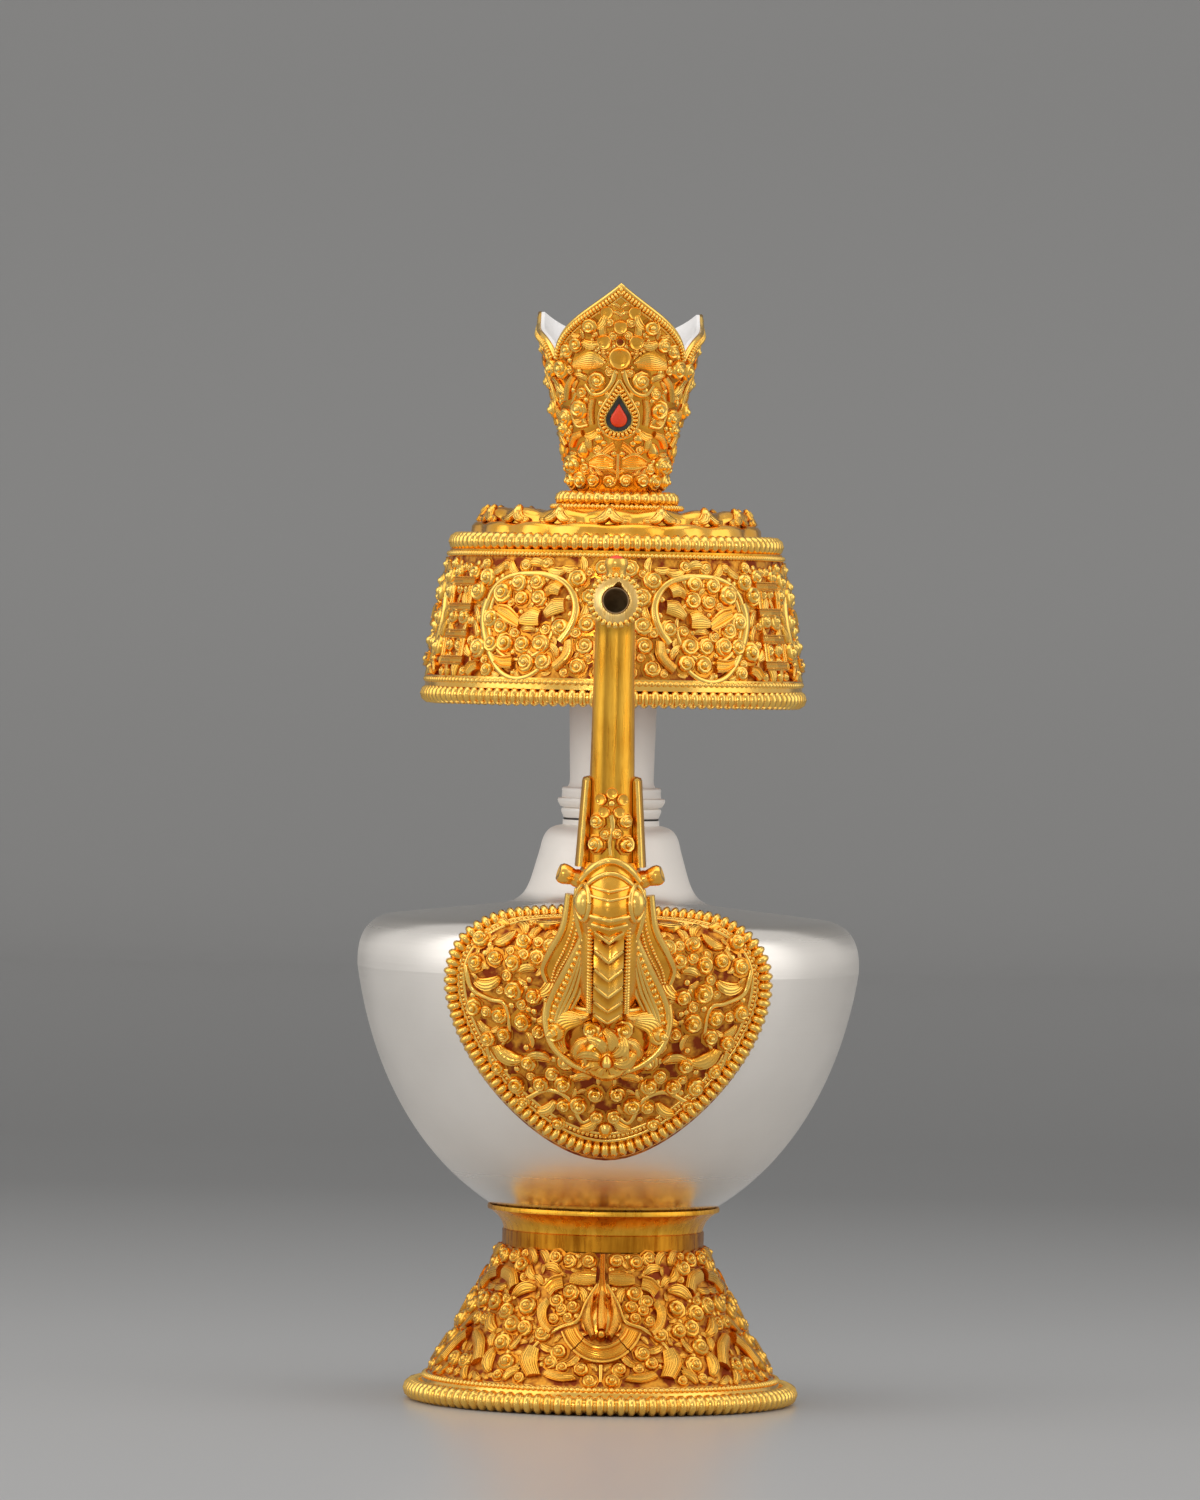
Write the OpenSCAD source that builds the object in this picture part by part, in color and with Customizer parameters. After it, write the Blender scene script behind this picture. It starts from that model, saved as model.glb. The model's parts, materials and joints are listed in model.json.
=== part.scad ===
// Ritual vase with a makara spout, a canopy and a crown that lift off the bowl together.
// The axis is +Z, the foot stands at z = 0 and the spout points to -Y.

/* [Foot] */
// Height of the foot up to its collar
foot_h = 33.2; // [28:0.2:40]
// Outer radius of the foot's wall where it meets the rim
foot_r = 38; // [34:0.2:44]
// Outer radius of the foot's wall under the collar
foot_top_r = 22; // [20:0.2:24]
// How far the foot's wall is drawn in
foot_draw = 5; // [2:0.5:8]
// Thickness of the foot's wall
foot_wall = 1.2; // [0.8:0.1:2]
// Thickness of the beaded rim that the foot stands on
foot_rim_d = 4.8; // [3.6:0.1:6]
// How deep the beaded rim is filed flat to stand
foot_flat = 0.3; // [0.1:0.1:0.6]
// Thickness of the fine beaded wires
fine_d = 1.3; // [0.8:0.1:1.8]
// How deep the beaded wires are seated on what carries them
seat = 0.6; // [0.3:0.1:0.8]
// Height of the raised scrolls on the foot
foot_scroll_h = 1.4; // [0.8:0.1:2]
// Height of the three raised buds on the foot
bud_h = 2.6; // [1.6:0.1:3.2]
// Width of a bud
bud_w = 6.8; // [5.6:0.1:7.6]

/* [Collar and cup] */
// Outer radius of the plain collar
collar_r = 21.7; // [20.6:0.1:24]
// Height of the plain collar
collar_h = 3.8; // [2.5:0.1:6]
// Thickness of the collar
collar_wall = 1.4; // [1:0.1:2]
// Height of the flared cup that holds the bowl
cup_h = 5.2; // [4.4:0.1:6]
// Thickness of the cup's floor
cup_floor = 1; // [0.8:0.1:1.4]
// Radius of the hole in the cup's floor
cup_hole_r = 12; // [6:0.5:15]
// Width of the cup's lip past the bowl
cup_lip = 0.7; // [0.5:0.1:1.5]
// Gap between the cup's wall and the bowl
cup_gap = 0.15; // [0.05:0.05:0.3]

/* [Bowl and shoulder] */
// Outer radius at the girth
bowl_r = 53.9; // [50:0.2:60]
// Height from the bowl's seat to the girth
bowl_h = 54; // [48:0.5:62]
// Radius of the bowl's flat seat
bowl_seat_r = 19.2; // [17:0.2:20]
// Thickness of the silver sheet
sheet = 1.2; // [0.8:0.1:1.6]
// Height of the shoulder's rounded corner
corner_h = 11.1; // [8:0.1:14]
// Width of the shoulder's rounded corner
corner_w = 6.4; // [4:0.1:9]
// Slope of the shoulder, in degrees
shoulder_slope = 6.5; // [3:0.5:10]

/* [Dome] */
// How far the shoulder reaches in under the dome's foot
dome_lap = 5.7; // [4:0.1:6.5]
// Outer radius of the dome's foot on the shoulder
dome_foot_r = 23; // [21:0.2:26]
// Outer radius of the dome's wall near its top
dome_r = 15.1; // [14:0.1:16.5]
// How far the dome's wall widens down to its waist
dome_spread = 1.5; // [0.5:0.1:2]
// Height of the dome
dome_h = 17.1; // [15:0.1:22]

/* [Neck joint] */
// Outer radius of the spigot
spigot_r = 8.2; // [7.9:0.05:8.4]
// Length of the spigot below the seal
spigot_l = 13.5; // [8:0.5:15]
// Running clearance between spigot and socket
spigot_gap = 0.05; // [0.03:0.01:0.1]
// Thickness of the socket's tube
socket_wall = 1.1; // [0.8:0.1:1.4]
// Length of the socket's tube under its flange
socket_l = 14; // [8:0.5:15]
// Outer radius of the socket's flange
flange_r = 10.4; // [10:0.1:12]
// Thickness of the socket's flange
flange_t = 1.1; // [0.8:0.1:2]
// Thickness of the leather seal
seal_t = 0.4; // [0.3:0.1:0.8]
// How far the seal's edge lies inside the flange's edge
seal_in = 0.2; // [0.1:0.1:0.6]

/* [Neck] */
// Radius of the bore through the neck
bore_r = 7.2; // [6:0.1:7.3]
// Outer radius of the neck's tube above the rings
neck_r = 9; // [8.8:0.1:9.6]
// Outer radius of the neck's tube inside the canopy
neck_top_r = 9.5; // [9.2:0.1:10]
// Length of the neck that shows under the canopy
neck_l = 21.2; // [16:0.2:30]
// Outer radius of the widest neck ring
ring_r = 11.6; // [11.2:0.1:13]
// Height of one neck ring
ring_h = 2.2; // [1.8:0.1:3]
// How much smaller the outer two rings are than the widest
ring_step = 0.8; // [0.4:0.1:1.2]
// Depth of the grooves between the rings
ring_groove = 0.6; // [0.3:0.1:0.8]

/* [Canopy] */
// Height of the raised scrolls on the skirt
scroll_h = 1; // [0.6:0.1:1.4]
// Outer radius of a scroll medallion
medal_r = 11; // [9.5:0.1:11.5]
// Width of a medallion's ring
medal_w = 1.6; // [1:0.1:2.4]
// Diameter of a curl
curl_d = 4.4; // [3.4:0.1:4.8]
// Length of a fret bar between two medallions
fret_l = 8.4; // [6:0.1:9]
// Width of a fret bar
fret_w = 1.8; // [1.2:0.1:2]
// Outer radius of the skirt at its lower edge
skirt_r = 40.4; // [37:0.2:46]
// Outer radius of the skirt at its upper edge
skirt_top_r = 35.7; // [34:0.2:40]
// Height of the skirt
skirt_h = 28; // [22:0.5:36]
// Thickness of the pierced skirt
skirt_wall = 1.2; // [0.8:0.1:1.8]
// Thickness of the red lining behind the skirt
lining_wall = 0.6; // [0.4:0.1:1]
// Thickness of the canopy's top plate
plate_t = 1.5; // [1.2:0.1:2.5]
// Thickness of the canopy's beaded rims
rim_d = 4.4; // [3.4:0.1:5.2]
// How far the top rim stands out past the skirt
rim_proud = 0.5; // [0.2:0.1:1]
// Gap between the top rim and the lotus
lotus_gap = 0.3; // [0.1:0.1:0.6]
// Height of the lower lotus tier
lotus_low_h = 6; // [5:0.1:8]
// Height of the upper lotus tier
lotus_up_h = 3; // [2:0.1:4.5]
// Width of the step from the lower tier to the upper tier
lotus_step = 2.5; // [1.5:0.1:4]
// Petals in each lotus tier
petals = 16; // [10:1:20]
// Outer radius of the hub that carries the crown
hub_r = 13.2; // [12.6:0.1:14.5]
// How far the hub stands above the lotus
hub_rise = 0.5; // [0.3:0.1:1.5]

/* [Crown] */
// Height of the crown above the hub
crown_h = 47.5; // [40:0.5:56]
// Radius of the liner at its foot
crown_foot = 8.6; // [8.2:0.1:9.2]
// Radius of the liner at the peaks
crown_flare = 18.8; // [16:0.2:22]
// Thickness of the silver liner
liner_t = 0.8; // [0.5:0.1:0.8]
// Thickness of the gilt petals
petal_t = 0.8; // [0.5:0.1:1.2]
// Half width of a petal above the notches
petal_w = 13.6; // [11.5:0.1:14]
// Depth of the notches below the front peak
notch_d = 17.5; // [14:0.5:21]
// How much lower the side peaks are than the front peak
side_drop = 5.5; // [0:0.5:7]
// Width of the beaded petal edges
edge_w = 1.6; // [1:0.1:2.2]
// Height of the beaded petal edges
edge_h = 0.9; // [0.6:0.1:1.4]
// Thickness of the beaded ring at the crown's foot
crown_rim_d = 3.8; // [3:0.1:4]
// Gap between the liner's foot and the beaded ring
crown_rim_gap = 1.2; // [0.9:0.1:1.6]
// Height of the coral above the hub
coral_z = 18.8; // [14:0.2:22]
// Width of the coral
coral_w = 3.4; // [2.6:0.1:4.4]
// Width of the black setting round the coral
setting_w = 1; // [0.6:0.1:1.4]
// Width of the frame round the setting
frame_w = 1.3; // [0.8:0.1:2]
// How far the coral stands out
coral_rise = 1.2; // [0.8:0.1:2]
// Height of the rosette above the hub
rosette_z = 35; // [32:0.2:37]
// Radius of the rosette
rosette_r = 4.2; // [3:0.1:5]

/* [Spout plate] */
// Width of the plate across the belly
shield_w = 68.2; // [54:0.2:76]
// Length of the plate above its widest line
shield_up = 16; // [13:0.5:18]
// Length of the plate below its widest line
shield_down = 33.6; // [28:0.5:38]
// Thickness of the plate
shield_t = 1.2; // [0.8:0.1:2]
// Width of the plate's beaded border
border_w = 2.6; // [1.8:0.1:4]
// Height of the beaded border above the plate
border_h = 1.4; // [0.8:0.1:2]
// Tilt of the plate's middle, in degrees
shield_tilt = 20; // [14:1:26]
// Height of the plate's widest line above the girth
shield_rise = 2.6; // [0:0.2:5]

/* [Spout] */
// Outer radius of the tube at the makara
tube_r = 5.2; // [4.6:0.1:5.6]
// Outer radius of the tube at the nozzle
tip_r = 4.15; // [3.8:0.05:4.6]
// Radius of the tube's bore
spout_bore_r = 2.6; // [1.8:0.1:3]
// How far the tube's root lies below the girth
root_drop = 6.2; // [3:0.2:10]
// How far the tube's root starts behind the girth's inner face
root_in = 1.5; // [1:0.1:2.2]
// Length of the straight root
root_l = 8; // [6:0.5:12]
// Climb of the root, in degrees
root_climb = 30; // [20:1:40]
// Bend radius at the makara
bend_r = 15; // [13:0.5:20]
// Length of the straight riser
riser_l = 62.6; // [45:0.2:70]
// Climb of the riser, in degrees
riser_climb = 87; // [82:0.5:90]
// Bend radius at the nozzle
tip_bend_r = 7; // [6:0.5:10]
// Climb of the nozzle, in degrees
nozzle_climb = 4; // [0:1:20]
// Length of the nozzle behind its lip
nozzle_l = 1; // [0.5:0.1:4]
// Length of the nozzle's lip
lip_l = 1.8; // [1.2:0.1:3]
// Width of the nozzle's lip past the tube
lip_w = 0.75; // [0.4:0.05:1.4]
// Thickness of the nozzle's beaded ring
nozzle_bead_d = 1.7; // [1:0.1:2.2]
// Radius of the jewel cup above the nozzle
jewel_cup_r = 2.5; // [2:0.1:3]
// Height of the jewel cup above the tube
jewel_cup_rise = 3.6; // [2:0.1:5]
// Thickness of the jewel cup's edge
jewel_cup_wall = 0.5; // [0.3:0.1:0.8]
// How far the jewel cup stands back from the nozzle's foot
jewel_back = 2.2; // [2:0.2:3]

/* [Makara] */
// Radius of the mane where it meets the plate
mane_r = 13; // [11:0.1:15]
// How far the mane swells past the neck
mane_swell = 2.6; // [1:0.1:4]
// Outer radius of the neck
makara_r = 7.4; // [6.6:0.1:8.2]
// Width of the belly strip
belly_w = 8.6; // [6:0.1:11]
// Height of the belly strip
belly_h = 0.9; // [0.5:0.1:1.6]
// Length of the head
head_l = 14; // [11:0.5:18]
// How far the head swells past the neck
head_swell = 1.2; // [0.6:0.1:2]
// Radius of the eyes
eye_r = 2.1; // [1.5:0.1:2.6]
// Distance between the eyes
eye_gap = 10.8; // [8:0.2:13]
// Length of the ears
ear_l = 5.4; // [4:0.1:8]
// Length of the sheath above the head
sheath_l = 18; // [12:0.5:26]
// Thickness of the sheath
sheath_t = 1.6; // [1:0.1:2.2]
// Gap between soldered round pieces
solder_gap = 0.03; // [0.01:0.01:0.05]

/* [Hidden] */
$fn = 96;
curve_n = 12;

gilt = [0.93, 0.68, 0.24];
silver = [0.82, 0.81, 0.78];
lacquer = [0.45, 0.14, 0.07];
coral_red = [0.78, 0.16, 0.08];
onyx = [0.05, 0.05, 0.05];
hide = [0.16, 0.11, 0.08];

// Heights of the stack, from the ground up
z_collar = foot_h;
z_cup = z_collar + collar_h;
z_seat = z_cup + 2 * cup_floor;
z_lip = z_cup + cup_h;
z_girth = z_seat + bowl_h;
z_corner = z_girth + corner_h;
z_dome = shoulder_z(dome_foot_r);
z_flange = z_dome + dome_h;
z_seal = z_flange + flange_t;
z_rings = z_seal + seal_t;
z_neck = z_rings + 3 * ring_h;
z_skirt = z_neck + neck_l;
z_plate = z_skirt + skirt_h;
z_lotus = z_plate + plate_t;
z_lotus_up = z_lotus + lotus_low_h;
z_lotus_top = z_lotus_up + lotus_up_h;
z_hub = z_lotus_top + hub_rise;
z_peak = z_hub + crown_h;

// Sizes that follow from the ones above
foot_rim_z = foot_rim_d / 2 - foot_flat;
shoulder_hole_r = dome_foot_r - dome_lap;
dome_waist_h = dome_h * 0.39;
dome_brow_h = dome_h * 0.7;
socket_r = spigot_r + spigot_gap;
socket_out_r = socket_r + socket_wall;
rim_r = skirt_top_r + rim_proud - rim_d / 2;
lotus_r = rim_r - rim_d / 2 - lotus_gap;
far = 2 * bowl_r;
over = 1;

function bezier(a, b, c, d, n = curve_n) = [
    for (i = [0:n])
        let (t = i / n, s = 1 - t)
            s * s * s * a + 3 * s * s * t * b + 3 * s * t * t * c + t * t * t * d
];
function rest(p) = [for (i = [1:len(p) - 1]) p[i]];
function most(p) = [for (i = [0:len(p) - 2]) p[i]];
function reversed(p) = [for (i = [len(p) - 1:-1:0]) p[i]];
function unit(v) = v / norm(v);
function along(p, i) = unit(p[min(i + 1, len(p) - 1)] - p[max(i - 1, 0)]);
// A path moved to its right by d
function moved(p, d) = [for (i = [0:len(p) - 1]) let (u = along(p, i)) p[i] + d * [u[1], -u[0]]];
function mirrored(p) = [for (q = reversed(p)) [-q[0], q[1]]];

// Foot, bowl, shoulder and dome as paths of radius and height
foot_path = bezier(
    [foot_r, foot_rim_d - foot_flat],
    [foot_r - foot_draw, foot_h * 0.33],
    [foot_top_r + foot_draw * 0.8, foot_h * 0.72],
    [foot_top_r, foot_h]
);
bowl_path = concat(
    [[bowl_seat_r, z_seat]],
    bezier(
        [bowl_seat_r * 1.25, z_seat + bowl_h * 0.056],
        [bowl_r * 0.742, z_seat + bowl_h * 0.24],
        [bowl_r * 0.937, z_seat + bowl_h * 0.575],
        [bowl_r, z_girth]
    )
);
function shoulder_z(r) = z_corner + (bowl_r - corner_w - r) * tan(shoulder_slope);
shoulder_path = concat(
    bezier(
        [bowl_r, z_girth],
        [bowl_r + corner_w * 0.06, z_girth + corner_h * 0.58],
        [bowl_r - corner_w * 0.28, z_corner - corner_h * 0.1],
        [bowl_r - corner_w, z_corner],
        8
    ),
    [[shoulder_hole_r, shoulder_z(shoulder_hole_r)]]
);
belly_path = concat(bowl_path, rest(shoulder_path));
dome_path = concat(
    bezier(
        [dome_foot_r, z_dome],
        [dome_r + 2.3 * dome_spread, z_dome + dome_waist_h * 0.1],
        [dome_r + 1.7 * dome_spread, z_dome + dome_waist_h * 0.5],
        [dome_r + dome_spread, z_dome + dome_waist_h],
        8
    ),
    bezier(
        [dome_r, z_dome + dome_brow_h],
        [dome_r * 0.96, z_flange - dome_h * 0.1],
        [flange_r * 1.29, z_flange - dome_h * 0.02],
        [flange_r, z_flange],
        8
    )
);

module spun(p) rotate_extrude() polygon(p);

// A solid ring of wire laid at radius r and height z
module wire(r, z, d) translate([r, z]) circle(d = d);

// A drop of width w with its point upwards
module drop(w) {
    circle(d = w);
    polygon([[w * 0.433, w * 0.25], [0, w], [-w * 0.433, w * 0.25]]);
}

// The belly out to a distance d from its surface, as a solid
module belly_solid(d)
    spun(concat([[0, z_seat]], moved(belly_path, d), [[0, shoulder_z(0) + d]]));

// The foot's skin above the fine wire, from inside the wall out to a distance d from its face
module foot_skin(d)
    spun(concat(rest(rest(moved(foot_path, d))), reversed(rest(rest(moved(foot_path, -foot_wall / 2))))));

function foot_at(z) = lookup(z, [for (p = foot_path) [p[1], p[0]]]);

// What stands out of the foot's wall, drawn round a point of the front at height z
module on_foot(z)
    translate([0, bud_w - foot_at(z), z])
    rotate([90, 0, 0])
    linear_extrude(height = 2 * bud_w)
    children();

bud_z = foot_h * 0.53;

module bud_panel() {
    on_foot(bud_z)
    difference() {
        circle(r = bud_w * 1.3);
        circle(r = bud_w);
        translate([-far / 2, -bud_w * 0.2]) square(far);
    }
    on_foot(bud_z + bud_w * 1.15)
    polygon([[-bud_w * 0.18, 0], [bud_w * 0.18, 0], [0, bud_w * 0.9]]);
    for (i = [0:3])
        on_foot(foot_h * (0.88 - 0.2 * i))
        for (side = [-1, 1])
            translate([side * curl_d * (1.2 + 0.8 * i), 0]) circle(d = curl_d);
}

module palm_panel() {
    on_foot(foot_h * 0.66)
    polygon([
        [-bud_w * 0.18, -bud_w * 1.2],
        [bud_w * 0.18, -bud_w * 1.2],
        [bud_w * 0.06, bud_w * 1.3],
        [-bud_w * 0.06, bud_w * 1.3]
    ]);
    on_foot(foot_h * 0.33)
    for (side = [-1, 1])
        translate([side * bud_w * 0.58, 0]) rotate(-side * 20) drop(bud_w * 0.75);
    on_foot(foot_h * 0.8)
    for (side = [-1, 1])
        translate([side * bud_w * 0.6, 0]) rotate(-side * 25) drop(bud_w * 0.6);
    for (i = [0:1])
        on_foot(foot_h * (0.6 - 0.25 * i))
        for (side = [-1, 1])
            translate([side * curl_d * (1.7 + 0.8 * i), 0]) circle(d = curl_d);
}

module foot_shell()
    color(gilt)
    union() {
        spun(concat(
            [[foot_r - foot_wall, foot_flat], [foot_r, foot_flat]],
            foot_path,
            [[foot_top_r - foot_wall, foot_h]],
            rest(reversed(moved(foot_path, -foot_wall)))
        ));
        intersection() {
            foot_skin(foot_scroll_h);
            for (k = [0:2]) {
                rotate([0, 0, 120 * k]) bud_panel();
                rotate([0, 0, 120 * k + 60]) palm_panel();
            }
        }
        intersection() {
            foot_skin(bud_h);
            for (k = [0:2]) rotate([0, 0, 120 * k]) on_foot(bud_z) drop(bud_w);
        }
    }

module foot_section()
    polygon([[0, 0], [foot_r, 0], [foot_r, foot_rim_d], [0, foot_rim_d]]);

module foot_rim_beads()
    color(gilt)
    rotate_extrude()
    difference() {
        wire(foot_r + foot_rim_d / 2 - seat / 6, foot_rim_z, foot_rim_d);
        foot_section();
        translate([0, -foot_rim_d]) square([far, foot_rim_d]);
    }

module foot_fine_beads()
    color(gilt)
    rotate_extrude()
    difference() {
        wire(foot_path[1][0] + fine_d * 0.4, foot_path[1][1], fine_d);
        polygon(concat([[0, 0], [foot_r, 0]], foot_path, [[0, foot_h]]));
    }

module foot_collar()
    color(gilt)
    translate([0, 0, z_collar])
    difference() {
        cylinder(r = collar_r, h = collar_h);
        translate([0, 0, -over]) cylinder(r = collar_r - collar_wall, h = collar_h + 2 * over);
    }

cup_lip_r = lookup(z_lip, [for (p = bowl_path) [p[1], p[0]]]) + cup_lip;

module bowl_cup()
    color(gilt)
    rotate_extrude()
    difference() {
        polygon(concat(
            [[cup_hole_r, z_seat], [cup_hole_r, z_seat - cup_floor]],
            [[collar_r - collar_wall, z_seat - cup_floor], [collar_r - collar_wall, z_cup]],
            bezier(
                [collar_r - collar_wall / 5, z_cup],
                [collar_r, z_cup + cup_h * 0.45],
                [cup_lip_r - sheet, z_lip - cup_h * 0.25],
                [cup_lip_r, z_lip]
            ),
            [[cup_lip_r - sheet - cup_lip, z_lip]]
        ));
        polygon(concat(
            [[0, z_seat]],
            [[bowl_seat_r + cup_gap, z_seat]],
            rest(moved(bowl_path, cup_gap)),
            [[0, z_girth]]
        ));
    }

module spout_hole()
    at_path(root_point, root_climb)
    translate([0, 0, -tube_r])
    cylinder(r = tube_r + solder_gap, h = root_l + tube_r);

bowl_inner = concat(most(moved(bowl_path, -sheet)), [[bowl_r - sheet, z_girth]]);

module bowl()
    color(silver)
    difference() {
        spun(concat([[0, z_seat]], bowl_path, reversed(bowl_inner), [[0, bowl_inner[0][1]]]));
        spout_hole();
    }

module shoulder()
    color(silver)
    difference() {
        spun(concat(
            shoulder_path,
            [[shoulder_hole_r, shoulder_z(shoulder_hole_r) - sheet]],
            rest(reversed(rest(moved(shoulder_path, -sheet)))),
            [[bowl_r - sheet, z_girth]]
        ));
        spout_hole();
    }

dome_inner = [
    for (p = moved(dome_path, -sheet))
        if (p[0] < shoulder_hole_r - solder_gap && p[0] > socket_out_r) p
];

module neck_dome()
    color(silver)
    spun(concat(
        dome_path,
        [[socket_out_r, z_flange], [socket_out_r, z_flange - sheet]],
        reversed(dome_inner),
        [[shoulder_hole_r, shoulder_z(shoulder_hole_r)]]
    ));

module neck_socket()
    color(silver)
    difference() {
        union() {
            translate([0, 0, z_flange]) cylinder(r = flange_r, h = flange_t);
            translate([0, 0, z_flange - socket_l]) cylinder(r = socket_out_r, h = socket_l);
        }
        translate([0, 0, z_flange - socket_l - over])
        cylinder(r = socket_r, h = socket_l + flange_t + 2 * over);
    }

// The spout's line in the plane x = 0, as distance to the front and height
function heading(a) = [cos(a), sin(a)];
function left_of(a) = [-sin(a), cos(a)];
root_z = z_girth - root_drop;
root_point = [bowl_r - sheet - root_in, root_z];
root_end = root_point + root_l * heading(root_climb);
bend_centre = root_end + bend_r * left_of(root_climb);
riser_foot = bend_centre - bend_r * left_of(riser_climb);
riser_top = riser_foot + riser_l * heading(riser_climb);
tip_centre = riser_top - tip_bend_r * left_of(riser_climb);
nozzle_foot = tip_centre + tip_bend_r * left_of(nozzle_climb);
lip_foot = nozzle_foot + nozzle_l * heading(nozzle_climb);

module at_path(p, climb) translate([0, -p[0], p[1]]) rotate([90 - climb, 0, 0]) children();

// A straight pipe of outer radius r0 at its foot and r1 at its head
module pipe(r0, r1, hole, l)
    difference() {
        cylinder(r1 = r0, r2 = r1, h = l);
        translate([0, 0, -over]) cylinder(r = hole, h = l + 2 * over);
    }

// A section swept round centre c at radius r, up from the angle start
module swept(c, r, start, sweep)
    translate([0, -c[0], c[1]])
    rotate([90, 0, -90])
    rotate([0, 0, start])
    rotate_extrude(angle = sweep)
    translate([r, 0])
    children();

module ring_section(outer, hole)
    difference() {
        circle(r = outer);
        circle(r = hole);
    }

module makara_bend() swept(bend_centre, bend_r, root_climb - 90, riser_climb - root_climb) children();

module tip_bend() swept(tip_centre, tip_bend_r, nozzle_climb + 90, riser_climb - nozzle_climb) children();

module spout_root()
    color(gilt)
    at_path(root_point, root_climb)
    pipe(tube_r, tube_r, spout_bore_r, root_l);

module spout_elbow()
    color(gilt)
    makara_bend()
    ring_section(tube_r, spout_bore_r);

module spout_tube()
    color(gilt)
    at_path(riser_foot, riser_climb)
    pipe(tube_r, tip_r, spout_bore_r, riser_l);

module spout_tip()
    color(gilt)
    tip_bend()
    ring_section(tip_r, spout_bore_r);

// Outline of the shield, half of it worked out and mirrored
function shield_half(inset) =
    let (w = shield_w / 2 - inset, up = shield_up - inset, down = shield_down - inset)
        concat(
            bezier([0, -down], [w * 0.47, -down], [w, -down * 0.39], [w, 0]),
            rest(bezier([w, 0], [w, up * 0.62], [w * 0.7, up * 1.06], [0, up]))
        );
shield_z = z_girth + shield_rise;

module shield_prism(inset)
    translate([0, -bowl_r, shield_z])
    rotate([90 - shield_tilt, 0, 0])
    linear_extrude(height = bowl_r, center = true)
    polygon(concat(shield_half(inset), rest(most(mirrored(shield_half(inset))))));

// The front of the belly's skin between two distances from its surface
module belly_skin(d0, d1)
    rotate([0, 0, 210])
    rotate_extrude(angle = 120)
    polygon(concat(moved(belly_path, d1), reversed(moved(belly_path, d0))));

module spout_plate()
    color(gilt)
    difference() {
        intersection() {
            belly_skin(solder_gap, shield_t);
            shield_prism(0);
        }
        spout_hole();
    }

module spout_plate_beads()
    color(gilt)
    intersection() {
        belly_skin(shield_t, shield_t + border_h);
        difference() {
            shield_prism(0);
            shield_prism(border_w);
        }
    }

head_r = makara_r + head_swell;

// A bell round the tube's root, from the plate out to the neck
module makara_mane()
    color(gilt)
    difference() {
        at_path(root_point, root_climb)
        spun(concat(
            [[tube_r + solder_gap, -mane_r], [mane_r, -mane_r]],
            bezier(
                [mane_r, 0],
                [mane_r, root_l * 0.5],
                [makara_r + mane_swell, root_l * 0.6],
                [makara_r, root_l]
            ),
            [[tube_r + solder_gap, root_l]]
        ));
        belly_solid(shield_t);
    }

module makara_neck()
    color(gilt)
    difference() {
        makara_bend() ring_section(makara_r, tube_r + solder_gap);
        belly_solid(shield_t);
    }

module makara_belly()
    color(gilt)
    makara_bend()
    intersection() {
        ring_section(makara_r + belly_h, makara_r);
        translate([0, -belly_w / 2]) square([far, belly_w]);
    }

module head_form()
    rotate_extrude()
    polygon(concat(
        [[0, 0]],
        bezier(
            [makara_r, 0],
            [head_r + head_swell / 2, head_l * 0.3],
            [head_r + head_swell / 2, head_l * 0.62],
            [makara_r - head_swell / 3, head_l]
        ),
        [[0, head_l]]
    ));

module riser_cone(gap)
    at_path(riser_foot, riser_climb)
    cylinder(r1 = tube_r + gap, r2 = tip_r + gap, h = riser_l);

module makara_head()
    color(gilt)
    difference() {
        at_path(riser_foot, riser_climb) head_form();
        riser_cone(solder_gap);
    }

module makara_eyes()
    color(gilt)
    at_path(riser_foot, riser_climb)
    for (side = [-1, 1])
        difference() {
            translate([side * eye_gap / 2, -head_r * 0.78, head_l * 0.5]) sphere(r = eye_r);
            head_form();
        }

module makara_ears()
    color(gilt)
    at_path(riser_foot, riser_climb)
    for (side = [-1, 1])
        difference() {
            translate([side * (head_r - eye_r), 0, head_l * 0.72])
            rotate([0, side * 62, 0])
            cylinder(r1 = eye_r * 1.2, r2 = eye_r * 0.5, h = ear_l);
            head_form();
        }

function tube_at(t) = tube_r + (tip_r - tube_r) * t / riser_l;

module spout_sheath()
    color(gilt)
    difference() {
        at_path(riser_foot, riser_climb)
        translate([0, 0, head_l])
        cylinder(
            r1 = tube_at(head_l) + sheath_t,
            r2 = tube_at(head_l + sheath_l) + sheath_t,
            h = sheath_l
        );
        riser_cone(solder_gap);
        at_path(riser_foot, riser_climb)
        translate([-far / 2, -far - tube_r * 0.4, 0])
        cube([far, far, far]);
    }

lip_r = tip_r + lip_w;

module nozzle_lip()
    color(gilt)
    at_path(nozzle_foot, nozzle_climb)
    difference() {
        union() {
            cylinder(r = tip_r, h = nozzle_l + lip_l);
            translate([0, 0, nozzle_l]) cylinder(r = lip_r, h = lip_l);
        }
        translate([0, 0, -over]) cylinder(r = spout_bore_r, h = nozzle_l + lip_l + 2 * over);
    }

module nozzle_beads()
    color(gilt)
    at_path(lip_foot, nozzle_climb)
    rotate_extrude()
    difference() {
        wire(lip_r, lip_l / 2, nozzle_bead_d);
        square([lip_r, far]);
    }

jewel_foot = nozzle_foot - [jewel_back, 0];
jewel_z = jewel_foot[1] + tip_r + jewel_cup_rise;
jewel_r = jewel_cup_r - jewel_cup_wall;

module spout_jewel_cup()
    color(gilt)
    difference() {
        translate([0, -jewel_foot[0], jewel_foot[1]]) cylinder(r = jewel_cup_r, h = tip_r + jewel_cup_rise);
        tip_bend() circle(r = tip_r + solder_gap);
        at_path(nozzle_foot, nozzle_climb) cylinder(r = tip_r + solder_gap, h = jewel_cup_r);
        translate([0, -jewel_foot[0], jewel_z]) sphere(r = jewel_r);
    }

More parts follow.
